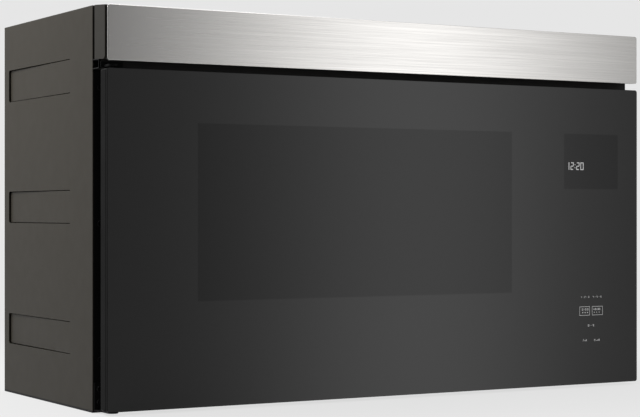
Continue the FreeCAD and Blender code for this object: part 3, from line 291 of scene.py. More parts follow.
    def bump(self, height: Socket, depth: float, strength: float = 1.0) -> Socket:
        """A surface normal from a height.

        Args:
            height: The height's socket, from 0 to 1.
            depth: What a height of 1 is, in metres.
            strength: How much of it shows.

        Returns:
            The normal's socket.
        """
        made = self.node("ShaderNodeBump")
        made.inputs["Strength"].default_value = strength
        made.inputs["Distance"].default_value = depth
        self.feed(made.inputs["Height"], height)
        return made.outputs[0]

    def set(self, **inputs: object) -> None:
        """Sets or links the shader's inputs.

        Args:
            inputs: Values by input name, with _ for a space.
        """
        for name, value in inputs.items():
            if isinstance(value, tuple) and len(value) == 3:
                value = (*value, 1.0)
            self.feed(self.shader.inputs[name.replace("_", " ")], value)

    def light(self, strength: object, kind: str = "ShaderNodeEmission") -> Socket:
        """An even white light.

        Args:
            strength: A socket or a number.
            kind: The type name of an emission or of the world's background.

        Returns:
            The light's socket.
        """
        made = self.node(kind)
        made.inputs["Color"].default_value = (1.0, 1.0, 1.0, 1.0)
        self.feed(made.inputs["Strength"], strength)
        return made.outputs[0]

    def seen_rays(self) -> Socket:
        """1 for the camera, glossy and see-through rays, which show the studio itself, else 0.

        Returns:
            The value's socket.
        """
        path = self.node("ShaderNodeLightPath")
        total = path.outputs["Is Camera Ray"]
        for name in ("Is Glossy Ray", "Is Transmission Ray"):
            total = self.maths("MAXIMUM", total, path.outputs[name])
        return total

    def show(self, share: Socket, first: Socket, second: Socket) -> None:
        """Blends two shaders and links them to the output.

        Args:
            share: How much of the second it has.
            first: The first shader.
            second: The second shader.
        """
        blend = self.node("ShaderNodeMixShader")
        for target, source in zip(blend.inputs, (share, first, second)):
            self.feed(target, source)
        self.feed(self.output.inputs[0], blend.outputs[0])


def shade(colour: Colour, factor: float) -> Colour:
    """A colour made darker or lighter by a factor."""
    return tuple(min(1.0, part * factor) for part in colour)


def stretched(across: float, grain: Axis, along: float) -> Triple:
    """The waves to the metre of a streaky noise: many across its grain, and few along it."""
    return tuple(along if axis is grain else across for axis in Axis)


# ---------------------------------------------------------------- finishes
@dataclass(frozen=True)
class Finish:
    """A finish that builds its own material once.

    Attributes:
        name: The material's name.
        colour: The main colour, in linear light.
        roughness: From mirror, 0, to matt, 1.
    """

    name: str
    colour: Colour
    roughness: float = 0.5

    def material(self) -> bpy.types.Material:
        """Builds the finish's material on its first use.

        Returns:
            The material.
        """
        known = bpy.data.materials.get(self.name)
        if known:
            return known
        graph = Graph(bpy.data.materials.new(self.name))
        self.compose(graph)
        return graph.owner

    def tint(self, graph: Graph, share: Socket, first: float, second: float) -> Socket:
        """The main colour, uneven between two shades of it.

        Args:
            graph: The tree.
            share: How much of the second shade there is.
            first: The first shade's factor.
            second: The second shade's factor.

        Returns:
            The colour's socket.
        """
        return graph.mix(share, shade(self.colour, first), shade(self.colour, second))

    def sheen(self, graph: Graph, pattern: Socket, less: float, more: float) -> Socket:
        """The roughness, uneven over the middle of a cloudy pattern.

        Args:
            graph: The tree.
            pattern: The pattern, from 0 to 1.
            less: How much smoother the finish is where the pattern is low.
            more: How much rougher it is where the pattern is high.

        Returns:
            The roughness's socket.
        """
        return graph.spread(pattern, 0.3, 0.7, self.roughness - less, self.roughness + more)

    def compose(self, graph: Graph) -> None:
        """Fills the material's node tree.

        Args:
            graph: The tree to fill.
        """
        raise NotImplementedError


@dataclass(frozen=True)
class PowderCoat(Finish):
    """Baked powder paint on sheet steel: a fine orange peel with slight mottling, and, where asked, painted
    shade along the bottom edge or near the ends.

    Attributes:
        grain: The waves of the orange peel to the metre.
        peel: Its depth.
        shine: How strongly the paint reflects.
        bottom_shade: The height of a band of painted shade along the bottom edge, or 0 for none.
        ends: How far from the middle, along X, painted shade starts towards the ends, or 0 for none.
        fade: How softly the painted shade begins.
        shade_factor: How pale the painted shade is beside the paint.
    """

    grain: float = 1100.0
    peel: float = 0.04 * MM
    shine: float = 0.5
    bottom_shade: float = 0.0
    ends: float = 0.0
    fade: float = 0.1 * MM
    shade_factor: float = 0.01

    def compose(self, graph: Graph) -> None:
        """Fills the node tree with mottled paint, and with painted shade where it has some.

        Args:
            graph: The tree to fill.
        """
        speck = graph.noise(self.grain * 1.6, 1.0)
        tone = self.tint(graph, graph.noise(9.0, 3.0), 0.97, 1.03)
        fleck = graph.spread(speck, 0.62, 0.72, 0.0, 0.35)
        paint = graph.mix(fleck, tone, shade(self.colour, 1.3))
        # Painted shade: the paint darkened to stand for shade, used for the bottom band and the ends.
        painted_shade = shade(self.colour, self.shade_factor)
        # A band of painted shade along the bottom edge.
        if self.bottom_shade:
            above = graph.spread(graph.part(Axis.Z), self.bottom_shade - self.fade, self.bottom_shade, 0.0, 1.0)
            paint = graph.mix(above, painted_shade, paint)
        # Painted shade towards both ends along X.
        if self.ends:
            off_middle = graph.maths("ABSOLUTE", graph.part(Axis.X))
            outside = graph.spread(off_middle, self.ends, self.ends + self.fade, 0.0, 1.0)
            paint = graph.mix(outside, paint, painted_shade)
        graph.set(
            Base_Color=paint,
            Roughness=self.sheen(graph, graph.noise(55.0, 3.0), 0.02, 0.02),
            Specular_IOR_Level=self.shine,
            Normal=graph.bump(graph.noise(self.grain, 2.0), self.peel, 0.5),
        )


@dataclass(frozen=True)
class BrushedSteel(Finish):
    """Stainless sheet brushed along one axis: long fine scratches that spread a highlight.

    Attributes:
        grain: The axis that the scratches follow.
        spread_across: How much wider a highlight is across them than along them.
    """

    grain: Axis = Axis.X
    spread_across: float = 0.75

    def compose(self, graph: Graph) -> None:
        """Fills the node tree with streaks along the grain.

        Args:
            graph: The tree to fill.
        """
        scratch = graph.noise(1.0, 3.0, stretched(2600.0, self.grain, 14.0))
        band = graph.noise(1.0, 2.0, stretched(800.0, self.grain, 7.0))
        both = graph.maths("ADD", graph.maths("MULTIPLY", scratch, 0.5), graph.maths("MULTIPLY", band, 0.5))
        share = graph.spread(both, 0.34, 0.66, 0.0, 1.0)
        graph.set(
            Metallic=1.0,
            Base_Color=self.tint(graph, share, 0.90, 1.08),
            Roughness=graph.spread(both, 0.3, 0.7, self.roughness + 0.03, self.roughness - 0.03),
            Anisotropic=self.spread_across,
            Anisotropic_Rotation=0.25,
            Normal=graph.bump(share, 0.006 * MM, 0.5),
        )


@dataclass(frozen=True)
class ZincSheet(Finish):
    """Galvanised sheet: small crystals that catch the light differently, slightly smudged.

    Attributes:
        crystal: The crystals to the metre.
    """

    crystal: float = 130.0

    def compose(self, graph: Graph) -> None:
        """Fills the node tree with a crystal pattern.

        Args:
            graph: The tree to fill.
        """
        crystals = graph.cells(self.crystal)
        tone = graph.node("ShaderNodeSeparateColor")
        graph.feed(tone.inputs[0], crystals.outputs["Color"])
        smudge = graph.spread(graph.noise(14.0, 4.0), 0.55, 0.8, 0.0, 0.3)
        metal = self.tint(graph, tone.outputs[0], 0.90, 1.06)
        graph.set(
            Metallic=1.0,
            Base_Color=graph.mix(smudge, metal, shade(self.colour, 0.78)),
            Roughness=graph.spread(tone.outputs[1], 0.0, 1.0, self.roughness - 0.06, self.roughness + 0.1),
            Normal=graph.bump(crystals.outputs["Distance"], 0.02 * MM, 0.3),
        )


@dataclass(frozen=True)
class PlatedSteel(Finish):
    """Plated, black oxide or uncoated pressed steel: faint rolling lines and handling marks.

    Attributes:
        grain: The axis that the rolling lines follow.
    """

    grain: Axis = Axis.Z

    def compose(self, graph: Graph) -> None:
        """Fills the node tree with faint rolling lines.

        Args:
            graph: The tree to fill.
        """
        rolled = graph.noise(1.0, 2.0, stretched(900.0, self.grain, 40.0))
        marks = graph.noise(60.0, 4.0)
        graph.set(
            Metallic=1.0,
            Base_Color=self.tint(graph, rolled, 0.88, 1.08),
            Roughness=graph.spread(marks, 0.3, 0.75, self.roughness - 0.07, self.roughness + 0.09),
            Normal=graph.bump(rolled, 0.008 * MM, 0.4),
        )


@dataclass(frozen=True)
class MouldedPlastic(Finish):
    """Injection-moulded plastic with a spark-eroded skin.

    Attributes:
        skin: The skin's bumps to the metre.
        depth: How deep they are.
        shine: How strongly the plastic reflects.
    """

    skin: float = 1900.0
    depth: float = 0.03 * MM
    shine: float = 0.5

    def compose(self, graph: Graph) -> None:
        """Fills the node tree with a fine skin.

        Args:
            graph: The tree to fill.
        """
        flow = graph.noise(22.0, 3.0)
        graph.set(
            Base_Color=self.tint(graph, flow, 0.88, 1.14),
            Roughness=self.sheen(graph, flow, 0.05, 0.06),
            Specular_IOR_Level=self.shine,
            Normal=graph.bump(graph.noise(self.skin, 2.0), self.depth, 0.45),
        )


@dataclass(frozen=True)
class PrintedGlass(Finish):
    """Glass with a dark ceramic print behind it, seen as one glossy face.

    Attributes:
        dots: The pitch of a fine printed dot screen in metres, or 0 for none.
        ior: How strongly the face reflects.
    """

    dots: float = 0.0
    ior: float = 1.45

    def compose(self, graph: Graph) -> None:
        """Fills the node tree with ink, and with a dot screen where there is one.

        Args:
            graph: The tree to fill.
        """
        ink = self.tint(graph, graph.noise(16.0, 2.0), 0.97, 1.03)
        if self.dots:
            screen = graph.spread(graph.dots(Axis.X, Axis.Z, self.dots), 0.2, 0.5, 0.0, 1.0)
            ink = graph.mix(screen, ink, shade(self.colour, 0.72))
        graph.set(
            Base_Color=ink,
            Roughness=self.sheen(graph, graph.noise(30.0, 3.0), 0.0, 0.02),
            IOR=self.ior,
            Normal=graph.bump(graph.noise(5.0, 1.0), 0.02 * MM, 0.12),
        )


@dataclass(frozen=True)
class PrintedMark(Finish):
    """Screen-printed or lit marks seen through the front glass.

    Attributes:
        glow: How strongly the mark shines.
    """

    glow: float = 0.0

    def compose(self, graph: Graph) -> None:
        """Fills the node tree with slightly uneven ink or light.

        Args:
            graph: The tree to fill.
        """
        uneven = graph.noise(900.0, 1.0)
        tone = self.tint(graph, uneven, 0.9, 1.05)
        graph.set(
            Base_Color=tone,
            Roughness=graph.spread(uneven, 0.0, 1.0, self.roughness, self.roughness + 0.04),
            IOR=1.45,
        )
        if self.glow:
            graph.set(Emission_Color=tone, Emission_Strength=self.glow)


@dataclass(frozen=True)
class ClearPane(Finish):
    """Clear or lightly tinted glass or polycarbonate.

    Attributes:
        prisms: The pitch of a moulded prism pattern in metres, or 0 for a plain pane.
    """

    prisms: float = 0.0

    def compose(self, graph: Graph) -> None:
        """Fills the node tree with a see-through pane.

        Args:
            graph: The tree to fill.
        """
        haze = graph.noise(40.0, 3.0)
        graph.set(
            Base_Color=self.tint(graph, haze, 0.97, 1.0),
            Roughness=graph.spread(haze, 0.3, 0.8, self.roughness, self.roughness + 0.05),
            Transmission_Weight=1.0,
            IOR=1.5,
        )
        if self.prisms:
            graph.set(Normal=graph.bump(graph.dots(Axis.X, Axis.Y, self.prisms), 0.4 * MM, 0.7))


@dataclass(frozen=True)
class CavityEnamel(Finish):
    """Baked grey enamel inside the oven, with pierced patches for light and air, the holes painted as
    near-black dots of shade.

    Attributes:
        patches: Centre Y, centre Z, half width and half height of each pierced patch.
        pitch: The distance between holes.
    """

    patches: tuple[tuple[float, float, float, float], ...] = ()
    pitch: float = 4.5 * MM

    def compose(self, graph: Graph) -> None:
        """Fills the node tree with enamel, and rows of small holes painted near black as shade and dented by
        the bump.

        Args:
            graph: The tree to fill.
        """
        speck = graph.cells(700.0)
        fleck = graph.spread(speck.outputs["Distance"], 0.0, 0.22, 1.0, 0.0)
        cloud = graph.noise(12.0, 3.0)
        tone = self.tint(graph, cloud, 0.95, 1.04)
        tone = graph.mix(graph.maths("MULTIPLY", fleck, 0.5), tone, shade(self.colour, 0.6))
        height = graph.noise(800.0, 2.0)
        if self.patches:
            along, up = graph.part(Axis.Y), graph.part(Axis.Z)
            dots = graph.spread(graph.dots(Axis.Y, Axis.Z, self.pitch), 0.3, 0.42, 0.0, 1.0)
            mask = 0.0
            for y, z, half_y, half_z in self.patches:
                patch = graph.maths("MULTIPLY", graph.between(along, y - half_y, y + half_y),
                                    graph.between(up, z - half_z, z + half_z))
                mask = graph.maths("MAXIMUM", mask, patch)
            holes = graph.maths("MULTIPLY", dots, mask)
            # Painted shade: each hole is coloured near black for the shade behind it.
            tone = graph.mix(holes, tone, (0.004, 0.004, 0.004))
            height = graph.maths("SUBTRACT", height, graph.maths("MULTIPLY", holes, 8.0))
        graph.set(
            Base_Color=tone,
            Roughness=self.sheen(graph, cloud, 0.05, 0.05),
            Normal=graph.bump(height, 0.03 * MM, 0.5),
        )


@dataclass(frozen=True)
class PiercedPlate(Finish):
    """Dark enamelled door plate: plain at its border, a screen of fine holes behind the window, painted as
    near-black dots of shade.

    Attributes:
        window_x: The screen's left and right edge.
        window_z: The screen's lower and upper edge.
        pitch: The distance between holes.
    """

    window_x: Point = (0.0, 1.0)
    window_z: Point = (0.0, 1.0)
    pitch: float = 2.2 * MM

    def compose(self, graph: Graph) -> None:
        """Fills the node tree with dark enamel and staggered holes, painted near black as shade and dented
        by the bump.

        Args:
            graph: The tree to fill.
        """
        dots = graph.spread(graph.dots(Axis.X, Axis.Z, self.pitch), 0.1, 0.25, 0.0, 1.0)
        mask = graph.maths("MULTIPLY", graph.between(graph.part(Axis.X), *self.window_x),
                           graph.between(graph.part(Axis.Z), *self.window_z))
        holes = graph.maths("MULTIPLY", dots, mask)
        tone = self.tint(graph, graph.noise(1.0, 2.0, stretched(900.0, Axis.X, 40.0)), 0.88, 1.08)
        graph.set(
            # Painted shade: each hole is coloured near black for the shade behind it.
            Base_Color=graph.mix(holes, tone, (0.003, 0.003, 0.003)),
            Roughness=self.sheen(graph, graph.noise(70.0, 3.0), 0.05, 0.08),
            Normal=graph.bump(graph.maths("SUBTRACT", 1.0, holes), 0.4 * MM, 0.5),
        )


@dataclass(frozen=True)
class GlassCeramic(Finish):
    """The oven's flat floor: dark glass-ceramic with pale specks."""

    def compose(self, graph: Graph) -> None:
        """Fills the node tree with specks under a gloss.

        Args:
            graph: The tree to fill.
        """
        speck = graph.cells(420.0)
        dots = graph.spread(speck.outputs["Distance"], 0.05, 0.16, 1.0, 0.0)
        cloud = graph.noise(60.0, 4.0)
        base = self.tint(graph, cloud, 0.8, 1.25)
        graph.set(
            Base_Color=graph.mix(graph.maths("MULTIPLY", dots, 0.7), base, (0.45, 0.45, 0.43)),
            Roughness=self.sheen(graph, cloud, 0.0, 0.06),
            Normal=graph.bump(graph.noise(35.0, 2.0), 0.05 * MM, 0.2),
        )


@dataclass(frozen=True)
class Foam(Finish):
    """Open or closed foam, felt and rubber: matt, with pores that have painted shade inside and a painted
    highlight on their rims.

    Attributes:
        pores: The pores to the metre.
    """

    pores: float = 900.0

    def compose(self, graph: Graph) -> None:
        """Fills the node tree with pores, painted darker inside as shade and paler at their rims as
        highlight.

        Args:
            graph: The tree to fill.
        """
        pores = graph.cells(self.pores, edges=True)
        rim = graph.spread(pores.outputs["Distance"], 0.0, 0.25, 1.0, 0.0)
        graph.set(
            # Painted shade and highlight: darker in the middle of each pore, paler at its rim.
            Base_Color=self.tint(graph, rim, 0.7, 1.3),
            Roughness=self.sheen(graph, graph.noise(50.0, 2.0), 0.05, 0.05),
            Normal=graph.bump(rim, 0.2 * MM, 0.5),
        )


@dataclass(frozen=True)
class CircuitBoard(Finish):
    """A lacquered circuit board: tracks, solder points and uncoated laminate between them.

    Attributes:
        track: The colour of the tracks under the lacquer.
        solder: The colour of the solder points.
    """

    track: Colour = (0.03, 0.16, 0.05)
    solder: Colour = (0.55, 0.55, 0.56)

    def compose(self, graph: Graph) -> None:
        """Fills the node tree with tracks and solder points.

        Args:
            graph: The tree to fill.
        """
        cells = graph.cells(150.0, edges=True)
        gaps = graph.spread(cells.outputs["Distance"], 0.03, 0.07, 1.0, 0.0)
        joints = graph.cells(260.0)
        solder = graph.spread(joints.outputs["Distance"], 0.10, 0.14, 1.0, 0.0)
        lacquer = graph.mix(gaps, self.track, self.colour)
        graph.set(
            Base_Color=graph.mix(solder, lacquer, self.solder),
            Metallic=graph.maths("MULTIPLY", solder, 0.9),
            Roughness=graph.spread(solder, 0.0, 1.0, self.roughness, self.roughness - 0.1),
            Normal=graph.bump(graph.maths("ADD", gaps, solder), 0.15 * MM, 0.6),
        )


@dataclass(frozen=True)
class Laminations(Finish):
    """A stack of thin steel stampings, seen edge on as fine lines.

    Attributes:
        stack: The axis that the stampings are stacked along.
        pitch: The distance between lines.
        varnish: The colour of the film over them.
    """

    stack: Axis = Axis.Y
    pitch: float = 1.2 * MM
    varnish: Colour = (0.08, 0.045, 0.02)

    def compose(self, graph: Graph) -> None:
        """Fills the node tree with sheet edges and a film of varnish.

        Args:
            graph: The tree to fill.
        """
        share = graph.spread(graph.ripple(self.stack, self.pitch), -0.8, 0.8, 0.0, 1.0)
        film = graph.noise(80.0, 4.0)
        metal = self.tint(graph, share, 0.5, 1.0)
        graph.set(
            Metallic=0.8,
            Base_Color=graph.mix(graph.spread(film, 0.5, 0.75, 0.0, 0.5), metal, self.varnish),
            Roughness=self.sheen(graph, film, 0.06, 0.08),
            Normal=graph.bump(share, 0.1 * MM, 0.5),
        )


@dataclass(frozen=True)
class Winding(Finish):
    """Enamelled wire wound in layers.

    Attributes:
        wire: The thickness of the wire.
    """

    wire: float = 1.6 * MM

    def compose(self, graph: Graph) -> None:
        """Fills the node tree with rows of wire, painted darker in the grooves between them as shade.

        Args:
            graph: The tree to fill.
        """
        share = graph.spread(graph.ripple(Axis.Z, self.wire), -0.9, 0.9, 0.0, 1.0)
        graph.set(
            Metallic=0.6,
            # Painted shade: darker in the grooves between the turns of wire.
            Base_Color=self.tint(graph, share, 0.35, 1.0),
            Roughness=self.sheen(graph, graph.noise(90.0, 3.0), 0.05, 0.08),
            Normal=graph.bump(share, 0.4 * MM, 0.8),
        )


@dataclass(frozen=True)
class Granules(Finish):
    """Activated carbon: black grains packed behind a mesh."""

    def compose(self, graph: Graph) -> None:
        """Fills the node tree with grains.

        Args:
            graph: The tree to fill.
        """
        grains = graph.cells(480.0)
        tone = graph.node("ShaderNodeSeparateColor")
        graph.feed(tone.inputs[0], grains.outputs["Color"])
        graph.set(
            Base_Color=self.tint(graph, tone.outputs[0], 0.5, 1.7),
            Roughness=graph.spread(tone.outputs[1], 0.0, 1.0, self.roughness - 0.15, self.roughness + 0.1),
            Normal=graph.bump(graph.maths("SUBTRACT", 1.0, grains.outputs["Distance"]), 1.0 * MM, 0.8),
        )


class Palette:
    """Every finish on the object, by what it is in the product."""

    CASE_PAINT = PowderCoat("case_powder_coat", (0.0305, 0.0270, 0.0210), 0.46, shine=0.10)
    # The sides' paint, with a band of painted shade along the bottom edge where each side meets the base
    # plate.
    SIDE_PAINT_SHADED_BOTTOM = replace(CASE_PAINT, name="case_side_powder_coat_shaded_bottom", bottom_shade=2.6 * MM)
    # The cowl is painted in the case's colour; this darker copy of that paint is painted shade on its end
    # returns.
    COWL_SHADED_PAINT = PowderCoat("cowl_shaded_powder_coat", (0.0190, 0.0174, 0.0140), 0.46, shine=0.10)
    # The rail's paint, with painted shade near its ends, where the rail lies deep in the shadowed gap above
    # the door.
    RAIL_PAINT_SHADED_ENDS = PowderCoat("rail_powder_coat_shaded_ends", (0.026, 0.025, 0.024), 0.46, shine=0.08, ends=377.0 * MM)
    BLACK_PAINT = PowderCoat("black_powder_coat", (0.004, 0.004, 0.004), 0.5, shine=0.08)
    STRIP = BrushedSteel("brushed_stainless", (0.80, 0.785, 0.765), 0.255)
    ZINC = ZincSheet("galvanised_sheet", (0.58, 0.59, 0.60), 0.38)
    BRACKET = PlatedSteel("plated_bracket_steel", (0.52, 0.52, 0.51), 0.34)
    SCREW = PlatedSteel("zinc_plated_screw", (0.60, 0.60, 0.58), 0.28, Axis.X)
    BLACK_SCREW = PlatedSteel("black_oxide_screw", (0.030, 0.030, 0.031), 0.42, Axis.X)
    SPRING = PlatedSteel("spring_wire", (0.42, 0.41, 0.40), 0.26, Axis.Z)
    WHEEL = PlatedSteel("aluminised_wheel_sheet", (0.60, 0.60, 0.59), 0.36, Axis.X)
    ALUMINIUM = PlatedSteel("aluminium_sheet", (0.72, 0.72, 0.72), 0.32, Axis.X)
    MOTOR_CAN = PlatedSteel("drawn_motor_can", (0.40, 0.40, 0.40), 0.36, Axis.X)
    CARRIER = MouldedPlastic("black_carrier_plastic", (0.004, 0.004, 0.004), 0.5, shine=0.08)
    FRAME = MouldedPlastic("black_door_frame_plastic", (0.005, 0.005, 0.005), 0.50, shine=0.03)
    COVER = MouldedPlastic("satin_black_cover_plastic", (0.011, 0.011, 0.011), 0.34, 1300.0)
    BEARING = MouldedPlastic("bearing_plastic", (0.62, 0.60, 0.54), 0.38)
    SWITCH = MouldedPlastic("switch_plastic", (0.020, 0.020, 0.022), 0.45)
    PALE = MouldedPlastic("pale_moulding", (0.70, 0.69, 0.64), 0.45)
    FAN = MouldedPlastic("fan_plastic", (0.030, 0.030, 0.034), 0.42)
    DISPLAY = MouldedPlastic("display_housing", (0.020, 0.022, 0.026), 0.30)
    TAPE = Foam("bonding_foam", (0.012, 0.012, 0.012), 0.85)
    RUBBER = Foam("cord_bushing_rubber", (0.014, 0.014, 0.014), 0.72, 1600.0)
    SEAL = Foam("plenum_collar", (0.010, 0.010, 0.010), 0.80, 700.0)
    ENAMEL = CavityEnamel("oven_enamel", (0.40, 0.40, 0.385), 0.36,
                          ((0.0, 0.300, 0.017, 0.016), (0.075, 0.300, 0.022, 0.030)))
    PLAIN_ENAMEL = CavityEnamel("plain_oven_enamel", (0.38, 0.38, 0.365), 0.38)
    CERAMIC = GlassCeramic("glass_ceramic", (0.030, 0.030, 0.031), 0.10)
    BOARD = CircuitBoard("control_circuit_board", (0.010, 0.055, 0.020), 0.35)
    POWER_BOARD = CircuitBoard("power_circuit_board", (0.10, 0.055, 0.020), 0.45, (0.22, 0.13, 0.045))
    TOUCH = MouldedPlastic("touch_film_polyester", (0.16, 0.16, 0.165), 0.30)
    CORE = Laminations("transformer_core", (0.30, 0.30, 0.30), 0.46)
    COIL = Winding("enamelled_winding", (0.62, 0.22, 0.075), 0.32)
    CARBON = Granules("carbon_granules", (0.016, 0.016, 0.016), 0.7)
    PANE = ClearPane("inner_pane", (0.86, 0.90, 0.88), 0.02)
    LENS = ClearPane("cooktop_lens", (0.95, 0.95, 0.93), 0.10, 6.0 * MM)
    GLASS_BORDER = PrintedGlass("black_printed_glass", (0.0217, 0.0217, 0.0217), 0.035)
    GLASS_WINDOW = PrintedGlass("window_printed_glass", (0.0179, 0.0179, 0.0179), 0.035, 2.2 * MM, 1.40)
    GLASS_DISPLAY = PrintedGlass("display_printed_glass", (0.0150, 0.0150, 0.0152), 0.035, 0.0, 1.41)
    GLASS_EDGE = PrintedGlass("ground_glass_edge", (0.0080, 0.0080, 0.0080), 0.22, 0.0, 1.05)
    MARK = PrintedMark("key_marks", (0.56, 0.56, 0.56), 0.06, 0.06)
    DIGIT = PrintedMark("lit_digits", (0.50, 0.50, 0.50), 0.06, 0.30)


# ---------------------------------------------------------------- dressing helpers
SHARP_ANGLE = math.radians(50)
EDGE_SEGMENTS = 2
SAME_POINT = 0.001 * MM


def dress(node: str, finish: Finish, edge: float = 0.2 * MM) -> None:
    """Gives a CAD node its finish, and rounds its sharp edges as a press or a mould does.

    Args:
        node: The node's name.
        finish: The finish.
        edge: How wide the rounding is, or 0 for sharp edges.
    """
    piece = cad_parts[node]
    piece.data.materials.clear()
    piece.data.materials.append(finish.material())
    piece.modifiers.new("joined_faces", "WELD").merge_threshold = SAME_POINT
    if edge:
        rounding = piece.modifiers.new("rounded_edges", "BEVEL")
        rounding.width = edge
        rounding.segments = EDGE_SEGMENTS
        rounding.limit_method = "ANGLE"
        rounding.angle_limit = SHARP_ANGLE
        rounding.harden_normals = True
    LOG.info("dressed %s in %s", node, finish.name)


def dress_part(node: str, finish: Finish, test: Callable[[Vector], bool]) -> None:
    """Gives the faces of a CAD node that pass a test a second finish.

    Args:
        node: The node's name.
        finish: The second finish.
        test: Whether a face belongs to it, from the face's middle in metres.
    """
    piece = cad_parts[node]
    piece.data.materials.append(finish.material())
    index = len(piece.data.materials) - 1
    for face in piece.data.polygons:
        if test(face.center):
            face.material_index = index


def placed_object(name: str, mesh: bmesh.types.BMesh, *materials: bpy.types.Material) -> bpy.types.Object:
    """Turns a built mesh into an object of the scene.

    Args:
        name: The object's name.
        mesh: Its mesh, in metres at rest. It is freed.
        materials: Its materials, in the order of the material indices.

    Returns:
        The new object.
    """
    data = bpy.data.meshes.new(name)
    mesh.to_mesh(data)
    mesh.free()
    for material in materials:
        data.materials.append(material)
    made = bpy.data.objects.new(name, data)
    bpy.context.scene.collection.objects.link(made)
    return made


def new_piece(name: str, mesh: bmesh.types.BMesh, body: str, slot: str,
              *finishes: Finish) -> bpy.types.Object:
    """Turns a built mesh into a piece that rides on a body.

    Args:
        name: The piece's name.
        mesh: Its mesh, in metres at rest. It is freed.
        body: The body it rides on.
        slot: The name of its material slot; not used.
        finishes: Its finishes, in the order of the material indices.

    Returns:
        The new object.
    """
    piece = placed_object(name, mesh, *(finish.material() for finish in finishes))
    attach(piece, body)
    LOG.info("built %s: %d faces", name, len(piece.data.polygons))
    return piece


def rounded_outline(x: Point, z: Point, radius: float, steps: int = 6) -> Outline:
    """A rectangle with round corners, counter-clockwise seen from the front.

    Args:
        x: Its left and right.
        z: Its bottom and top.
        radius: The corners' radius.
        steps: The pieces that each corner has.

    Returns:
        Its points.
    """
    points = []
    corners = ((x[1], z[0], -90), (x[1], z[1], 0), (x[0], z[1], 90), (x[0], z[0], 180))
    for corner_x, corner_z, start in corners:
        middle_x = corner_x - math.copysign(radius, corner_x - sum(x) / 2)
        middle_z = corner_z - math.copysign(radius, corner_z - sum(z) / 2)
        for step in range(steps + 1):
            angle = math.radians(start + 90 * step / steps)
            points.append((middle_x + radius * math.cos(angle), middle_z + radius * math.sin(angle)))
    return points


def rectangle(x: Point, z: Point) -> Outline:
    """A rectangle's corners, counter-clockwise seen from the front."""
    return [(x[0], z[0]), (x[1], z[0]), (x[1], z[1]), (x[0], z[1])]


def inside(point: Point, outline: Outline) -> bool:
    """Whether a point lies inside a closed outline.

    Args:
        point: The point.
        outline: The outline's points.

    Returns:
        True if it is inside.
    """
    x, z = point
    hit = False
    for (x0, z0), (x1, z1) in zip(outline, outline[1:] + outline[:1]):
        if (z0 > z) != (z1 > z) and x < x0 + (z - z0) * (x1 - x0) / (z1 - z0):
            hit = not hit
    return hit


# ---------------------------------------------------------------- marks on the glass
@dataclass
class SegmentText:
    """Numbers and signs drawn with straight strokes.

    Attributes:
        height: The height of a digit.
        width: The width of a digit.
        stroke: The thickness of a stroke.
        gap: The space between two signs.
        segments: Which of the seven strokes each sign has, by letter.
    """

    height: float
    width: float
    stroke: float
    gap: float = 0.0
    segments: dict[str, str] = field(default_factory=lambda: {
        "0": "abcdef", "2": "abged", "3": "abgcd", "4": "bcfg", "5": "acdfg", "6": "acdefg",
        "9": "abcdfg", "-": "g"})

    def bars(self, x: float, z: float) -> dict[str, Outline]:
        """The seven strokes of a digit.

        Args:
            x: The digit's left.
            z: The digit's bottom.

        Returns:
            Each stroke's outline by its letter.
        """
        t, w, h = self.stroke, self.width, self.height
        half = h / 2
        nick = t * 0.12
        level = {"d": z, "g": z + half - t / 2, "a": z + h - t}
        upright = {"e": (x, z), "c": (x + w - t, z), "f": (x, z + half), "b": (x + w - t, z + half)}
        bars = {key: rectangle((x + t * 0.9, x + w - t * 0.9), (low, low + t)) for key, low in level.items()}
        for key, (left, low) in upright.items():
            bars[key] = rectangle((left, left + t), (low + nick, low + half - nick))
        return bars

    def reach(self, sign: str) -> float:
        """How wide a sign is, without the space after it."""
        narrow = {":": self.stroke, "1": 1.8 * self.stroke, "+": 0.9 * self.width}
        return narrow.get(sign, self.width)

    def fit(self, text: str, x: Point, z: float) -> list[Outline]:
        """A line of numbers and signs that is spread over a width.

        Args:
            text: Digits, a colon, a plus sign or a dash.
            x: The line's left and right.
            z: The line's bottom.

        Returns:
            The outlines of all strokes.
        """
        spare = x[1] - x[0] - sum(self.reach(sign) for sign in text)
        return replace(self, gap=spare / (len(text) - 1)).write(text, x[0], z)

    def write(self, text: str, x: float, z: float) -> list[Outline]:
        """The outlines of a line of numbers and signs.

        Args:
            text: Digits, a colon, a plus sign or a dash.
            x: The line's left.
            z: The line's bottom.

        Returns:
            The outlines of all strokes.
        """
        drawn = []
        t = self.stroke
        for sign in text:
            middle = z + self.height / 2
            if sign == ":":
                for level in (0.3, 0.7):
                    low = z + self.height * level - t / 2
                    drawn.append(rectangle((x, x + t), (low, low + t)))
            elif sign == "+":
                size = self.width * 0.45
                drawn.append(rectangle((x, x + 2 * size), (middle - t / 2, middle + t / 2)))
                for low in (middle - size, middle + t / 2):
                    drawn.append(rectangle((x + size - t / 2, x + size + t / 2), (low, low + size - t / 2)))
            elif sign == "1":
                drawn.append(rectangle((x + t * 0.4, x + t * 1.4), (z, z + self.height)))
            else:
                bars = self.bars(x, z)
                drawn += [bars[key] for key in self.segments[sign]]
            x += self.reach(sign) + self.gap
        return drawn


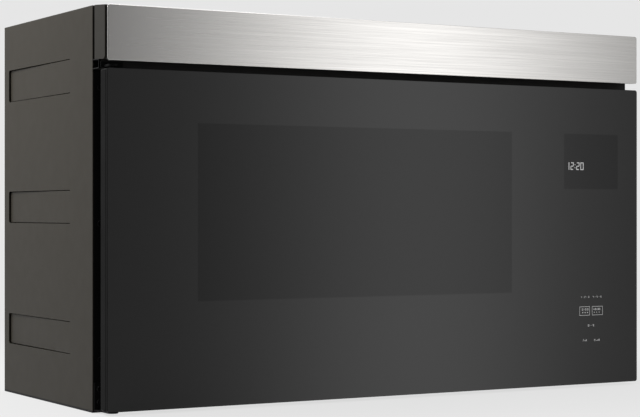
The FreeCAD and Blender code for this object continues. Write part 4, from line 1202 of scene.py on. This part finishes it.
@dataclass
class KeyField:
    """The printed key marks at the right of the glass, as generic numbers and symbols.

    Attributes:
        small: The style of the top row's numbers.
        bold: The style of the other numbers.
        stroke: The thickness of the frames' lines.
        frames_x: The left and right of both key frames.
        frames_z: Their bottom and top.
        top_x: The left and right of the top row's numbers.
        top_z: The top row's height.
        framed_x: The left and right of the numbers in the frames.
        framed_z: Their height.
        signs_x: The left and right of the signs under them.
        signs_z: Their middle height.
        sign_sizes: Half the size of a square and of a triangle.
        middle_x: The left and right of the single key's numbers.
        middle_z: Their height.
        fan_place: The middle of the fan sign.
        fan_size: Its radius.
        fan_levels: The left and right of the bars beside it.
        lamp_place: The middle of the lamp sign.
        lamp_size: Its reach.
        lamp_levels: The left and right of the bars beside it.
        level_height: The height of the tallest bar.
    """

    small: SegmentText = field(default_factory=lambda: SegmentText(2.3 * MM, 1.8 * MM, 0.48 * MM))
    bold: SegmentText = field(default_factory=lambda: SegmentText(2.6 * MM, 2.2 * MM, 0.62 * MM))
    stroke: float = 0.55 * MM
    frames_x: tuple[Point, Point] = ((0.2835, 0.3003), (0.3040, 0.3216))
    frames_z: Point = (0.0934, 0.1051)
    top_x: tuple[Point, Point] = ((0.2861, 0.2993), (0.3053, 0.3198))
    top_z: float = 0.1163
    framed_x: tuple[Point, Point] = ((0.2872, 0.2981), (0.3061, 0.3176))
    framed_z: float = 0.0999
    signs_x: tuple[Point, Point] = ((0.2880, 0.2973), (0.3072, 0.3170))
    signs_z: float = 0.0972
    sign_sizes: Point = (0.75 * MM, 0.85 * MM)
    middle_x: Point = (0.2973, 0.3073)
    middle_z: float = 0.0789
    fan_place: Point = (0.2901, 0.0611)
    fan_size: float = 1.6 * MM
    fan_levels: Point = (0.2923, 0.2958)
    lamp_place: Point = (0.3084, 0.0610)
    lamp_size: float = 1.7 * MM
    lamp_levels: Point = (0.3110, 0.3172)
    level_height: float = 2.4 * MM

    def frames(self) -> list[Outline]:
        """Draws both key frames.

        Returns:
            The four sides of each.
        """
        drawn = []
        t = self.stroke
        low, high = self.frames_z
        for left, right in self.frames_x:
            drawn.append(rectangle((left, right), (low, low + t)))
            drawn.append(rectangle((left, right), (high - t, high)))
            drawn.append(rectangle((left, left + t), (low + t, high - t)))
            drawn.append(rectangle((right - t, right), (low + t, high - t)))
        return drawn

    def thirds(self, x: Point, size: float) -> Triple:
        """Where three signs in a row start, from the row's left and right and half a sign's size."""
        return x[0], (x[0] + x[1]) / 2 - size, x[1] - 2 * size

    def arrows(self, x: Point, z: float, size: float) -> list[Outline]:
        """A row of three small triangles that point right.

        Args:
            x: The row's left and right.
            z: Its middle height.
            size: Half a triangle's height.

        Returns:
            The triangles.
        """
        return [[(left, z - size), (left + 2 * size, z), (left, z + size)] for left in self.thirds(x, size)]

    def blocks(self, x: Point, z: float, size: float) -> list[Outline]:
        """A row of three small squares.

        Args:
            x: The row's left and right.
            z: Its middle height.
            size: Half a square's side.

        Returns:
            The squares.
        """
        return [rectangle((left, left + 2 * size), (z - size, z + size)) for left in self.thirds(x, size)]

    def levels(self, x: Point, z: float, height: float, count: int) -> list[Outline]:
        """Upright bars that grow to the right, as a sign for settings.

        Args:
            x: The row's left and right.
            z: Its middle height.
            height: The tallest bar's height.
            count: How many bars there are.

        Returns:
            The bars.
        """
        pitch = (x[1] - x[0]) / count
        low = z - height / 2
        filled = 0.62
        return [rectangle((x[0] + index * pitch, x[0] + (index + filled) * pitch),
                          (low, low + height * (index + 1) / count)) for index in range(count)]

    def fan_sign(self) -> list[Outline]:
        """A small three-bladed fan.

        Returns:
            The outlines of its blades.
        """
        x, z = self.fan_place
        blades = []
        for index in range(3):
            start = math.radians(90 + 120 * index)
            blade = []
            for reach, turn in ((0.15, 0.0), (0.95, -0.25), (1.0, 0.25), (0.75, 0.65)):
                radius, angle = self.fan_size * reach, start + turn
                blade.append((x + radius * math.cos(angle), z + radius * math.sin(angle)))
            blades.append(blade)
        return blades

    def lamp_sign(self) -> list[Outline]:
        """A small lamp: a round bulb with its rays.

        Returns:
            The outlines of the bulb and the rays.
        """
        x, z = self.lamp_place
        size, bulb_sides, rays = self.lamp_size, 10, 8
        bulb = []
        for index in range(bulb_sides):
            angle = math.tau * index / bulb_sides
            bulb.append((x + size * 0.5 * math.cos(angle), z + size * 0.5 * math.sin(angle)))
        drawn = [bulb]
        half = size * 0.09
        for index in range(rays):
            angle = math.tau * index / rays
            cos, sin = math.cos(angle), math.sin(angle)
            drawn.append([(x + size * reach * cos - side * half * sin,
                           z + size * reach * sin + side * half * cos)
                          for reach, side in ((0.7, -1), (1.05, -1), (1.05, 1), (0.7, 1))])
        return drawn

    def all_marks(self) -> list[Outline]:
        """Draws every mark of the key field.

        Returns:
            The outlines of all marks.
        """
        square, triangle = self.sign_sizes
        marks = self.frames()
        for numbers, x in zip(("1-2-3", "4-5-6"), self.top_x):
            marks += self.small.fit(numbers, x, self.top_z)
        for numbers, x in zip(("0:00", "+0:30"), self.framed_x):
            marks += self.bold.fit(numbers, x, self.framed_z)
        marks += self.blocks(self.signs_x[0], self.signs_z, square)
        marks += self.arrows(self.signs_x[1], self.signs_z, triangle)
        marks += self.bold.fit("0-9", self.middle_x, self.middle_z)
        marks += self.fan_sign()
        marks += self.levels(self.fan_levels, self.fan_place[1], self.level_height, 2)
        marks += self.lamp_sign()
        marks += self.levels(self.lamp_levels, self.lamp_place[1], self.level_height, 3)
        return marks


# ---------------------------------------------------------------- sub-assemblies
@dataclass
class CaseShell:
    """The painted wrapper, its plated back and what fastens them.

    Attributes:
        fold: How wide the rounding of the wrapper's folds is.
    """

    fold: float = 0.3 * MM

    def build(self) -> None:
        """Dresses the case."""
        for side in ("left", "right"):
            dress(f"side_panel_{side}", Palette.SIDE_PAINT_SHADED_BOTTOM, self.fold)
        for node in ("top_panel", "base_plate"):
            dress(node, Palette.CASE_PAINT, self.fold)
        dress("front_plate", Palette.BLACK_PAINT)
        dress("upper_rail", Palette.RAIL_PAINT_SHADED_ENDS)
        dress("rear_panel", Palette.ZINC)
        dress("case_screws", Palette.BLACK_SCREW)
        dress("mounting_nuts", Palette.SCREW)
        dress("cord_bushing", Palette.RUBBER)


@dataclass
class FrontVent:
    """The brushed strip, the cowl behind it and the air path inside.

    Attributes:
        fold: How wide the rounding of the cowl's folds is.
        pad_depth: From the front of the charcoal filter's frame to its pad.
        pad_slack: How far from there a face may lie and still be the pad's.
    """

    fold: float = 0.3 * MM
    pad_depth: float = 3.9 * MM
    pad_slack: float = 0.3 * MM

    def build(self) -> None:
        """Dresses the vent."""
        dress("trim_strip", Palette.STRIP)
        dress("vent_cowl", Palette.COWL_SHADED_PAINT, self.fold)
        dress("plenum_seal", Palette.SEAL)
        for node in ("strip_carrier", "vent_louvres", "charcoal_filter"):
            dress(node, Palette.CARRIER)
        low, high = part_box("charcoal_filter")
        pad_front = low.y + self.pad_depth
        dress_part("charcoal_filter", Palette.CARBON,
                   lambda middle: abs(middle.y - pad_front) < self.pad_slack and low.z < middle.z < high.z)


@dataclass
class Oven:
    """The cooking cavity."""

    def build(self) -> None:
        """Dresses the cavity."""
        dress("cavity_wrapper", Palette.ENAMEL)
        for node in ("cavity_back", "cavity_floor_pan"):
            dress(node, Palette.PLAIN_ENAMEL)
        dress("ceramic_floor", Palette.CERAMIC)
        dress("cavity_lamp", Palette.PALE)


@dataclass
class MicrowaveSource:
    """The parts beside and under the cavity that make and feed the microwaves.

    Attributes:
        winding_reach: From the transformer's middle to where its core ends and its coils start.
        board: The thickness of the supply board.
    """

    winding_reach: float = 33.2 * MM
    board: float = 1.8 * MM

    def build(self) -> None:
        """Dresses the source."""
        for node in ("waveguide", "component_shelf", "magnetron"):
            dress(node, Palette.ZINC)
        dress("stirrer_antenna", Palette.ALUMINIUM)
        dress("stirrer_motor", Palette.MOTOR_CAN)
        for node in ("cooling_fan_frame", "cooling_fan_rotor"):
            dress(node, Palette.FAN)
        dress("high_voltage_capacitor", Palette.ALUMINIUM)
        dress("high_voltage_diode", Palette.SWITCH)
        dress("high_voltage_transformer", Palette.CORE)
        low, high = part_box("high_voltage_transformer")
        middle_y = (low.y + high.y) / 2
        dress_part("high_voltage_transformer", Palette.COIL,
                   lambda middle: abs(middle.y - middle_y) > self.winding_reach)
        self.dress_power_board()

    def dress_power_board(self) -> None:
        """Dresses the supply board: laminate, and what is soldered to it in black."""
        dress("power_board", Palette.POWER_BOARD)
        board_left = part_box("power_board")[1].x - self.board
        dress_part("power_board", Palette.SWITCH, lambda middle: middle.x < board_left)


@dataclass
class Hood:
    """The exhaust blower, the grease filters and the cooktop lamp's lens.

    Attributes:
        cell: Width and length of one diamond of the filter mesh.
        strand: Width and thickness of a strand.
        border: The frame round the mesh, in X and in Y.
        recess: From the filter's underside to the mesh.
        lift: How much higher one edge of every second layer's strands is.
    """

    cell: Point = (5.0 * MM, 9.0 * MM)
    strand: Point = (0.7 * MM, 0.35 * MM)
    border: Point = (10.2 * MM, 12.2 * MM)
    recess: float = 0.8 * MM
    lift: float = 0.12 * MM

    def build(self) -> None:
        """Dresses the hood and adds the mesh of both filters."""
        for side in ("left", "right"):
            dress(f"blower_scroll_{side}", Palette.ZINC)
            dress(f"blower_wheel_{side}", Palette.WHEEL, 0.0)
            dress(f"grease_filter_{side}", Palette.ALUMINIUM)
            self.add_filter_mesh(side)
        dress("blower_motor", Palette.MOTOR_CAN)
        dress("blower_shaft", Palette.SCREW)
        dress("cooktop_light_lens", Palette.LENS)

    def add_filter_mesh(self, side: str) -> None:
        """Adds the expanded aluminium mesh on the underside of one filter.

        Args:
            side: left or right.
        """
        low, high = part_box(f"grease_filter_{side}")
        x_range = (low.x + self.border[0], high.x - self.border[0])
        y_range = (low.y + self.border[1], high.y - self.border[1])
        mesh = bmesh.new()
        count_x = int((x_range[1] - x_range[0]) / self.cell[0])
        count_y = int((y_range[1] - y_range[0]) / self.cell[1])
        step_x = (x_range[1] - x_range[0]) / count_x
        step_y = (y_range[1] - y_range[0]) / count_y
        level = low.z + self.recess
        for start, end, lift in self.strand_cells(count_x, count_y):
            first = (x_range[0] + start[0] * step_x, y_range[0] + start[1] * step_y)
            last = (x_range[0] + end[0] * step_x, y_range[0] + end[1] * step_y)
            self.add_strand(mesh, first, last, level, lift)
        new_piece(f"filter_mesh_{side}", mesh, f"filter_{side}", "filter_mesh", Palette.ALUMINIUM)

    def strand_cells(self, count_x: int, count_y: int) -> list[tuple[Point, Point, float]]:
        """Lists the slanting strands of a mesh, each cut off at its border.

        Args:
            count_x: How many cells it has across.
            count_y: How many cells it has from front to back.

        Returns:
            Each strand's two ends, counted in cells, and how much it is tilted.
        """
        strands = []
        for index in range(-count_y, count_x):
            shift = index + 0.5
            low, high = max(0.0, -shift), min(count_y, count_x - shift)
            strands.append(((shift + low, low), (shift + high, high), 0.0))
        for index in range(count_x + count_y):
            shift = index + 0.5
            low, high = max(0.0, shift - count_x), min(count_y, shift)
            strands.append(((shift - low, low), (shift - high, high), self.lift))
        return strands

    def add_strand(self, mesh: bmesh.types.BMesh, start: Point, end: Point, level: float,
                   lift: float) -> None:
        """Adds one flat strand between two points of the mesh plane.

        Args:
            mesh: The mesh to add to.
            start: Its first point.
            end: Its last point.
            level: The height of its lower face.
            lift: How much higher its far edge is, which tilts the strand.
        """
        along = Vector((end[0] - start[0], end[1] - start[1], 0.0)).normalized()
        across = Vector((-along.y, along.x, 0.0)) * self.strand[0] / 2
        corners = []
        for x, y in (start, end):
            for side in (-1, 1):
                for height in (0.0, self.strand[1]):
                    tilt = lift if side > 0 else 0.0
                    corners.append(mesh.verts.new(Vector((x, y, level + height + tilt)) + across * side))
        a0, a1, b0, b1, c0, c1, d0, d1 = corners
        for loop in ((a0, c0, c1, a1), (b0, b1, d1, d0), (a1, c1, d1, b1), (a0, b0, d0, c0),
                     (a0, a1, b1, b0), (c0, d0, d1, c1)):
            mesh.faces.new(loop)


@dataclass
class Interlock:
    """The latch switches and the hinge brackets."""

    def build(self) -> None:
        """Dresses the interlock."""
        dress("interlock_bracket", Palette.PALE)
        dress("interlock_switches", Palette.SWITCH)
        for node in ("lower_hinge_bracket", "upper_hinge_bracket"):
            dress(node, Palette.BLACK_PAINT)


@dataclass
class LatchSpring:
    """The coil spring over the latch slider, built at rest; nothing here shortens it as the slider rises.

    Attributes:
        wire: Half the wire's thickness.
        turns: The coil's turns.
        steps: The pieces that each turn has.
        sides: The sides that the wire's section has.
    """

    wire: float = 0.4 * MM
    turns: int = 6
    steps: int = 24
    sides: int = 10

    def build(self) -> None:
        """Builds the spring in the place of the plain one."""
        low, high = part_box("latch_spring")
        middle = (low + high) / 2
        radius = (high.x - low.x) / 2 - self.wire
        spring = new_piece("coiled_latch_spring", self.coil(middle, radius, low.z, high.z), "door",
                           "spring_steel", Palette.SPRING)
        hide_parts("latch_spring")
        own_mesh(spring)

    def coil(self, middle: Vector, radius: float, low: float, high: float) -> bmesh.types.BMesh:
        """One round wire wound as a helix.

        Args:
            middle: The coil's middle.
            radius: From its axis to the middle of the wire.
            low: The coil's lower end.
            high: Its upper end.

        Returns:
            The wire's mesh.
        """
        mesh = bmesh.new()
        rings = []
        count = self.turns * self.steps
        rise = (high - low - 2 * self.wire) / count
        for step in range(count + 1):
            angle = math.tau * step / self.steps
            ring = []
            for side in range(self.sides):
                turn = math.tau * side / self.sides
                reach = radius + self.wire * math.cos(turn)
                height = low + self.wire * (1 + math.sin(turn)) + rise * step
                place = (middle.x + reach * math.cos(angle), middle.y + reach * math.sin(angle), height)
                ring.append(mesh.verts.new(place))
            rings.append(ring)
        for before, after in zip(rings, rings[1:]):
            for side in range(self.sides):
                beside = (side + 1) % self.sides
                mesh.faces.new((before[side], before[beside], after[beside], after[side])).smooth = True
        mesh.faces.new(rings[0])
        mesh.faces.new(rings[-1])
        bmesh.ops.recalc_face_normals(mesh, faces=mesh.faces)
        return mesh


@dataclass
class Door:
    """The full-width glass door with its window, display and touch keys.

    Attributes:
        corner: The radius of the glass corners.
        chamfer: The ground edge round the front face.
        window_x: The window's left and right.
        window_z: The window's bottom and top.
        display_x: The display's left and right.
        display_z: The display's bottom and top.
        screen_x: The left and right of the pierced screen behind the window.
        screen_z: The screen's bottom and top.
        clock: The clock's text.
        clock_place: The clock's lower left corner.
        digits: The clock's text style.
        keys: The key marks.
        spring: The latch's spring.
        edge: How wide the rounding of the plastic frame's and covers' edges is.
        joint_gap: How near two points of the glass may be and still be one, in metres.
    """

    corner: float = 3.0 * MM
    chamfer: float = 0.4 * MM
    window_x: Point = (-0.2674, 0.1753)
    window_z: Point = (0.1258, 0.3300)
    display_x: Point = (0.2582, 0.3468)
    display_z: Point = (0.2580, 0.3295)
    screen_x: Point = (-0.275, 0.183)
    screen_z: Point = (0.118, 0.338)
    clock: str = "12:20"
    clock_place: Point = (0.2652, 0.2828)
    digits: SegmentText = field(default_factory=lambda: SegmentText(
        height=9.8 * MM, width=5.3 * MM, stroke=1.15 * MM, gap=1.45 * MM))
    keys: KeyField = field(default_factory=KeyField)
    spring: LatchSpring = field(default_factory=LatchSpring)
    edge: float = 0.35 * MM
    joint_gap: float = 1e-8

    def build(self) -> None:
        """Builds the printed glass and dresses the rest of the door."""
        glass = self.build_glass()
        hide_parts("door_glass")
        dress("bonding_tape", Palette.TAPE, 0.0)
        dress("door_frame", Palette.FRAME, self.edge)
        for node in ("hinge_bushes", "latch_slider"):
            dress(node, Palette.BEARING)
        dress("door_plate", PiercedPlate("pierced_door_plate", (0.012, 0.012, 0.012), 0.42,
                                         self.screen_x, self.screen_z))
        dress("choke_ring", Palette.BRACKET)
        dress("inner_glass", Palette.PANE)
        for node in ("choke_cover", "control_cover"):
            dress(node, Palette.COVER, self.edge)
        dress("control_board", Palette.BOARD)
        dress("display_module", Palette.DISPLAY)
        dress("touch_film", Palette.TOUCH, 0.0)
        dress("door_screws", Palette.SCREW)
        self.spring.build()

    def regions(self) -> list[tuple[Ink, list[Outline]]]:
        """Lists what is printed where on the glass, from the top layer down.

        Returns:
            Each layer's ink and outlines.
        """
        return [
            (Ink.DIGIT, self.digits.write(self.clock, *self.clock_place)),
            (Ink.MARK, self.keys.all_marks()),
            (Ink.DISPLAY, [rectangle(self.display_x, self.display_z)]),
            (Ink.WINDOW, [rectangle(self.window_x, self.window_z)]),
        ]

    def build_glass(self) -> bpy.types.Object:
        """Builds the glass: a printed front face, a ground rim, its edge and its back.

        Returns:
            The glass.
        """
        low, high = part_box("door_glass")
        mesh = bmesh.new()
        loops = []
        for inset, y in ((self.chamfer, low.y), (0.0, low.y + self.chamfer), (0.0, high.y)):
            outline = rounded_outline((low.x + inset, high.x - inset), (low.z + inset, high.z - inset),
                                      self.corner - inset)
            loops.append([mesh.verts.new((x, y, z)) for x, z in outline])
        for front, back in zip(loops, loops[1:]):
            for index in range(len(front)):
                after = (index + 1) % len(front)
                mesh.faces.new((front[index], back[index], back[after], front[after]))
        mesh.faces.new(loops[-1])
        for face in mesh.faces:
            face.material_index = Ink.EDGE.value
        front_outline = [(vert.co.x, vert.co.z) for vert in loops[0]]
        self.add_printed_face(mesh, front_outline, low.y)
        bmesh.ops.remove_doubles(mesh, verts=mesh.verts, dist=self.joint_gap)
        bmesh.ops.recalc_face_normals(mesh, faces=mesh.faces)
        return new_piece("printed_door_glass", mesh, "door", "front_glass", Palette.GLASS_BORDER,
                         Palette.GLASS_WINDOW, Palette.GLASS_DISPLAY, Palette.MARK, Palette.DIGIT,
                         Palette.GLASS_EDGE)

    def add_printed_face(self, mesh: bmesh.types.BMesh, outline: Outline, y: float) -> None:
        """Adds the front face, split along the edges of all that is printed on it.

        Args:
            mesh: The mesh to add to.
            outline: The face's outline.
            y: Where the face is.
        """
        points = [Vector(point) for point in outline]
        loops = [list(range(len(points)))]
        for _, outlines in self.regions():
            for shape in outlines:
                loops.append(list(range(len(points), len(points) + len(shape))))
                points += [Vector(point) for point in shape]
        places, _, faces, _, _, _ = delaunay_2d_cdt(points, [], loops, 1, self.joint_gap)
        verts = [mesh.verts.new((place.x, y, place.y)) for place in places]
        for corners in faces:
            face = mesh.faces.new([verts[index] for index in corners])
            middle = sum((places[index] for index in corners), Vector((0.0, 0.0))) / len(corners)
            face.material_index = self.ink_at((middle.x, middle.y)).value

    def ink_at(self, point: Point) -> Ink:
        """What the glass is printed with at a point.

        Args:
            point: The point, across and up.

        Returns:
            The ink.
        """
        for ink, outlines in self.regions():
            if any(inside(point, outline) for outline in outlines):
                return ink
        return Ink.BORDER


# ---------------------------------------------------------------- studio
@dataclass(frozen=True)
class Softbox:
    """A square soft lamp.

    Attributes:
        name: The lamp's name.
        place: Where it hangs.
        size: The length of its sides.
        power: Its power in watts.
    """

    name: str
    place: Triple
    size: float
    power: float

    def hang(self, aim: Triple) -> None:
        """Hangs the lamp so that it faces a point.

        Args:
            aim: The point.
        """
        lamp = bpy.data.lights.new(self.name, "AREA")
        lamp.size = self.size
        lamp.energy = self.power
        holder = bpy.data.objects.new(self.name, lamp)
        holder.location = self.place
        holder.rotation_euler = (Vector(aim) - Vector(self.place)).to_track_quat("-Z", "Y").to_euler()
        bpy.context.scene.collection.objects.link(holder)


@dataclass
class Studio:
    """The floor, the soft lights and the camera.

    Attributes:
        backdrop: The pale colour behind the object, in linear light.
        world_fill: The even light that the world gives to matt surfaces.
        floor_glow: The floor's own brightness where it is seen.
        floor_share: How much of what is seen is that, and not the light that falls on it.
        floor_fade: How far out the floor starts to turn into the backdrop, and where it has.
        floor_x: The floor's left and right edge.
        floor_y: The floor's front and back edge.
        floor_z: Its height, a hair under the object.
        floor_tones: How dark and how pale its clouds are.
        wall_radius: How far the soft light wall stands from the object.
        wall_z: Its bottom and top.
        wall_reach: How far round to each side it goes, in degrees.
        wall_steps: The flat pieces that it has.
        wall_peak: The direction of the wall's brightest part, in degrees from straight ahead.
        wall_width: How wide that part is, in degrees.
        wall_levels: The wall's level away from its peak, and what the peak adds.
        wall_side: How far right of the peak its side starts and is full, in degrees.
        wall_side_level: What the side adds where it is full.
        wall_fill: The even light that the wall gives to matt surfaces.
        lamps: The lamps.
        aim: The point that they face.
        camera_place: Where the camera stands.
        camera_turn: The direction it looks, in degrees from straight back towards +X.
        sensor: The width of its sensor in millimetres.
        lens: Its focal length in millimetres.
        rise: The vertical shift that frames the object.
    """

    backdrop: float = 0.791
    world_fill: float = 0.50
    floor_glow: float = 0.918
    floor_share: float = 0.75
    floor_fade: Point = (0.75, 1.7)
    floor_x: Point = (-2.2, 2.2)
    floor_y: Point = (-2.4, 2.4)
    floor_z: float = -0.2 * MM
    floor_tones: Point = (0.40, 0.42)
    wall_radius: float = 3.2
    wall_z: Point = (-3.5, 6.0)
    wall_reach: float = 88.0
    wall_steps: int = 64
    wall_peak: float = 32.1
    wall_width: float = 9.1
    wall_levels: Point = (0.084, 1.33)
    wall_side: Point = (8.5, 20.0)
    wall_side_level: float = 0.24
    wall_fill: float = 0.80
    lamps: tuple[Softbox, ...] = (Softbox("overhead_softbox", (0.0, 0.1, 2.3), 2.0, 30.0),
                                  Softbox("side_softbox", (-0.9, 0.3, 1.1), 0.4, 15.0))
    aim: Triple = (0.0, 0.0, 0.25)
    camera_place: Triple = (-1.1677, -2.0102, 0.2280)
    camera_turn: float = 29.925
    sensor: float = 36.0
    lens: float = 100.49
    rise: float = 0.0057

    def build(self) -> None:
        """Builds the floor, the lights and the camera."""
        self.add_world()
        self.add_floor()
        self.add_light_wall()
        for lamp in self.lamps:
            lamp.hang(self.aim)
        self.add_camera()
        bpy.context.scene.view_settings.view_transform = "Standard"

    def add_world(self) -> None:
        """Sets a pale background, and a softer level for the light that it gives."""
        world = bpy.data.worlds.new("studio_world")
        bpy.context.scene.world = world
        graph = Graph(world)
        graph.nodes.remove(graph.nodes["Background"])
        given = graph.light(self.world_fill, "ShaderNodeBackground")
        seen = graph.light(self.backdrop, "ShaderNodeBackground")
        graph.show(graph.seen_rays(), given, seen)

    def add_floor(self) -> None:
        """Adds the plain pale floor, which keeps the object's shadow."""
        mesh = bmesh.new()
        corners = rectangle(self.floor_x, self.floor_y)
        mesh.faces.new([mesh.verts.new((x, y, self.floor_z)) for x, y in corners])
        graph = Graph(bpy.data.materials.new("pale_floor"))
        dark, pale = ((level, level, level) for level in self.floor_tones)
        clouds = graph.mix(graph.noise(3.0, 2.0), dark, pale)
        graph.set(Base_Color=clouds, Roughness=0.9, Specular_IOR_Level=0.0)
        reach = graph.node("ShaderNodeVectorMath", operation="LENGTH")
        graph.feed(reach.inputs[0], graph.place())
        far = reach.outputs["Value"]
        glow = graph.light(graph.spread(far, *self.floor_fade, self.floor_glow, self.backdrop))
        share = graph.maths("MULTIPLY", graph.seen_rays(),
                            graph.spread(far, *self.floor_fade, self.floor_share, 1.0))
        graph.show(share, graph.shader.outputs[0], glow)
        floor = placed_object("studio_floor", mesh, graph.owner)
        floor.visible_glossy = False

    def add_light_wall(self) -> None:
        """Adds the tall curved light in front, brightest towards the right."""
        mesh = bmesh.new()
        columns = []
        for step in range(self.wall_steps + 1):
            angle = math.radians(self.wall_reach * (2 * step / self.wall_steps - 1))
            x, y = self.wall_radius * math.sin(angle), -self.wall_radius * math.cos(angle)
            columns.append([mesh.verts.new((x, y, z)) for z in self.wall_z])
        for first, second in zip(columns, columns[1:]):
            mesh.faces.new((first[0], first[1], second[1], second[0]))
        graph = Graph(bpy.data.materials.new("soft_light_wall"))
        graph.show(graph.seen_rays(), graph.light(self.wall_fill), graph.light(self.wall_level(graph)))
        graph.owner.cycles.emission_sampling = "NONE"
        wall = placed_object("studio_light_wall", mesh, graph.owner)
        wall.visible_camera = False

    def wall_level(self, graph: Graph) -> Socket:
        """How bright the wall is in each direction, as it shows in glossy surfaces.

        Args:
            graph: The wall's tree.

        Returns:
            The level's socket.
        """
        ahead = graph.maths("MULTIPLY", graph.part(Axis.Y), -1.0)
        turn = graph.maths("ARCTAN2", graph.part(Axis.X), ahead)
        away = graph.maths("SUBTRACT", turn, math.radians(self.wall_peak))
        share = graph.maths("DIVIDE", away, math.radians(self.wall_width))
        bell = graph.maths("EXPONENT", graph.maths("MULTIPLY", graph.maths("MULTIPLY", share, share), -1.0))
        base, peak = self.wall_levels
        level = graph.maths("ADD", graph.maths("MULTIPLY", bell, peak), base)
        start, full = (math.radians(angle) for angle in self.wall_side)
        return graph.maths("ADD", level, graph.spread(away, start, full, 0.0, self.wall_side_level))

    def add_camera(self) -> None:
        """Adds the camera at the photograph's angle."""
        data = bpy.data.cameras.new("product_camera")
        data.sensor_width = self.sensor
        data.lens = self.lens
        data.shift_y = self.rise
        camera = bpy.data.objects.new("product_camera", data)
        camera.location = self.camera_place
        camera.rotation_euler = (math.radians(90), 0.0, math.radians(-self.camera_turn))
        bpy.context.scene.collection.objects.link(camera)
        bpy.context.scene.camera = camera


def main() -> None:
    """Builds every sub-assembly and the studio."""
    logging.basicConfig(level=logging.INFO, format="%(message)s")
    assemblies = (CaseShell(), FrontVent(), Oven(), MicrowaveSource(), Hood(), Interlock(), Door())
    for assembly in assemblies:
        assembly.build()
        LOG.info("dressed %s", type(assembly).__name__)
    Studio().build()
    LOG.info("built the studio")


if __name__ == "__main__":
    main()
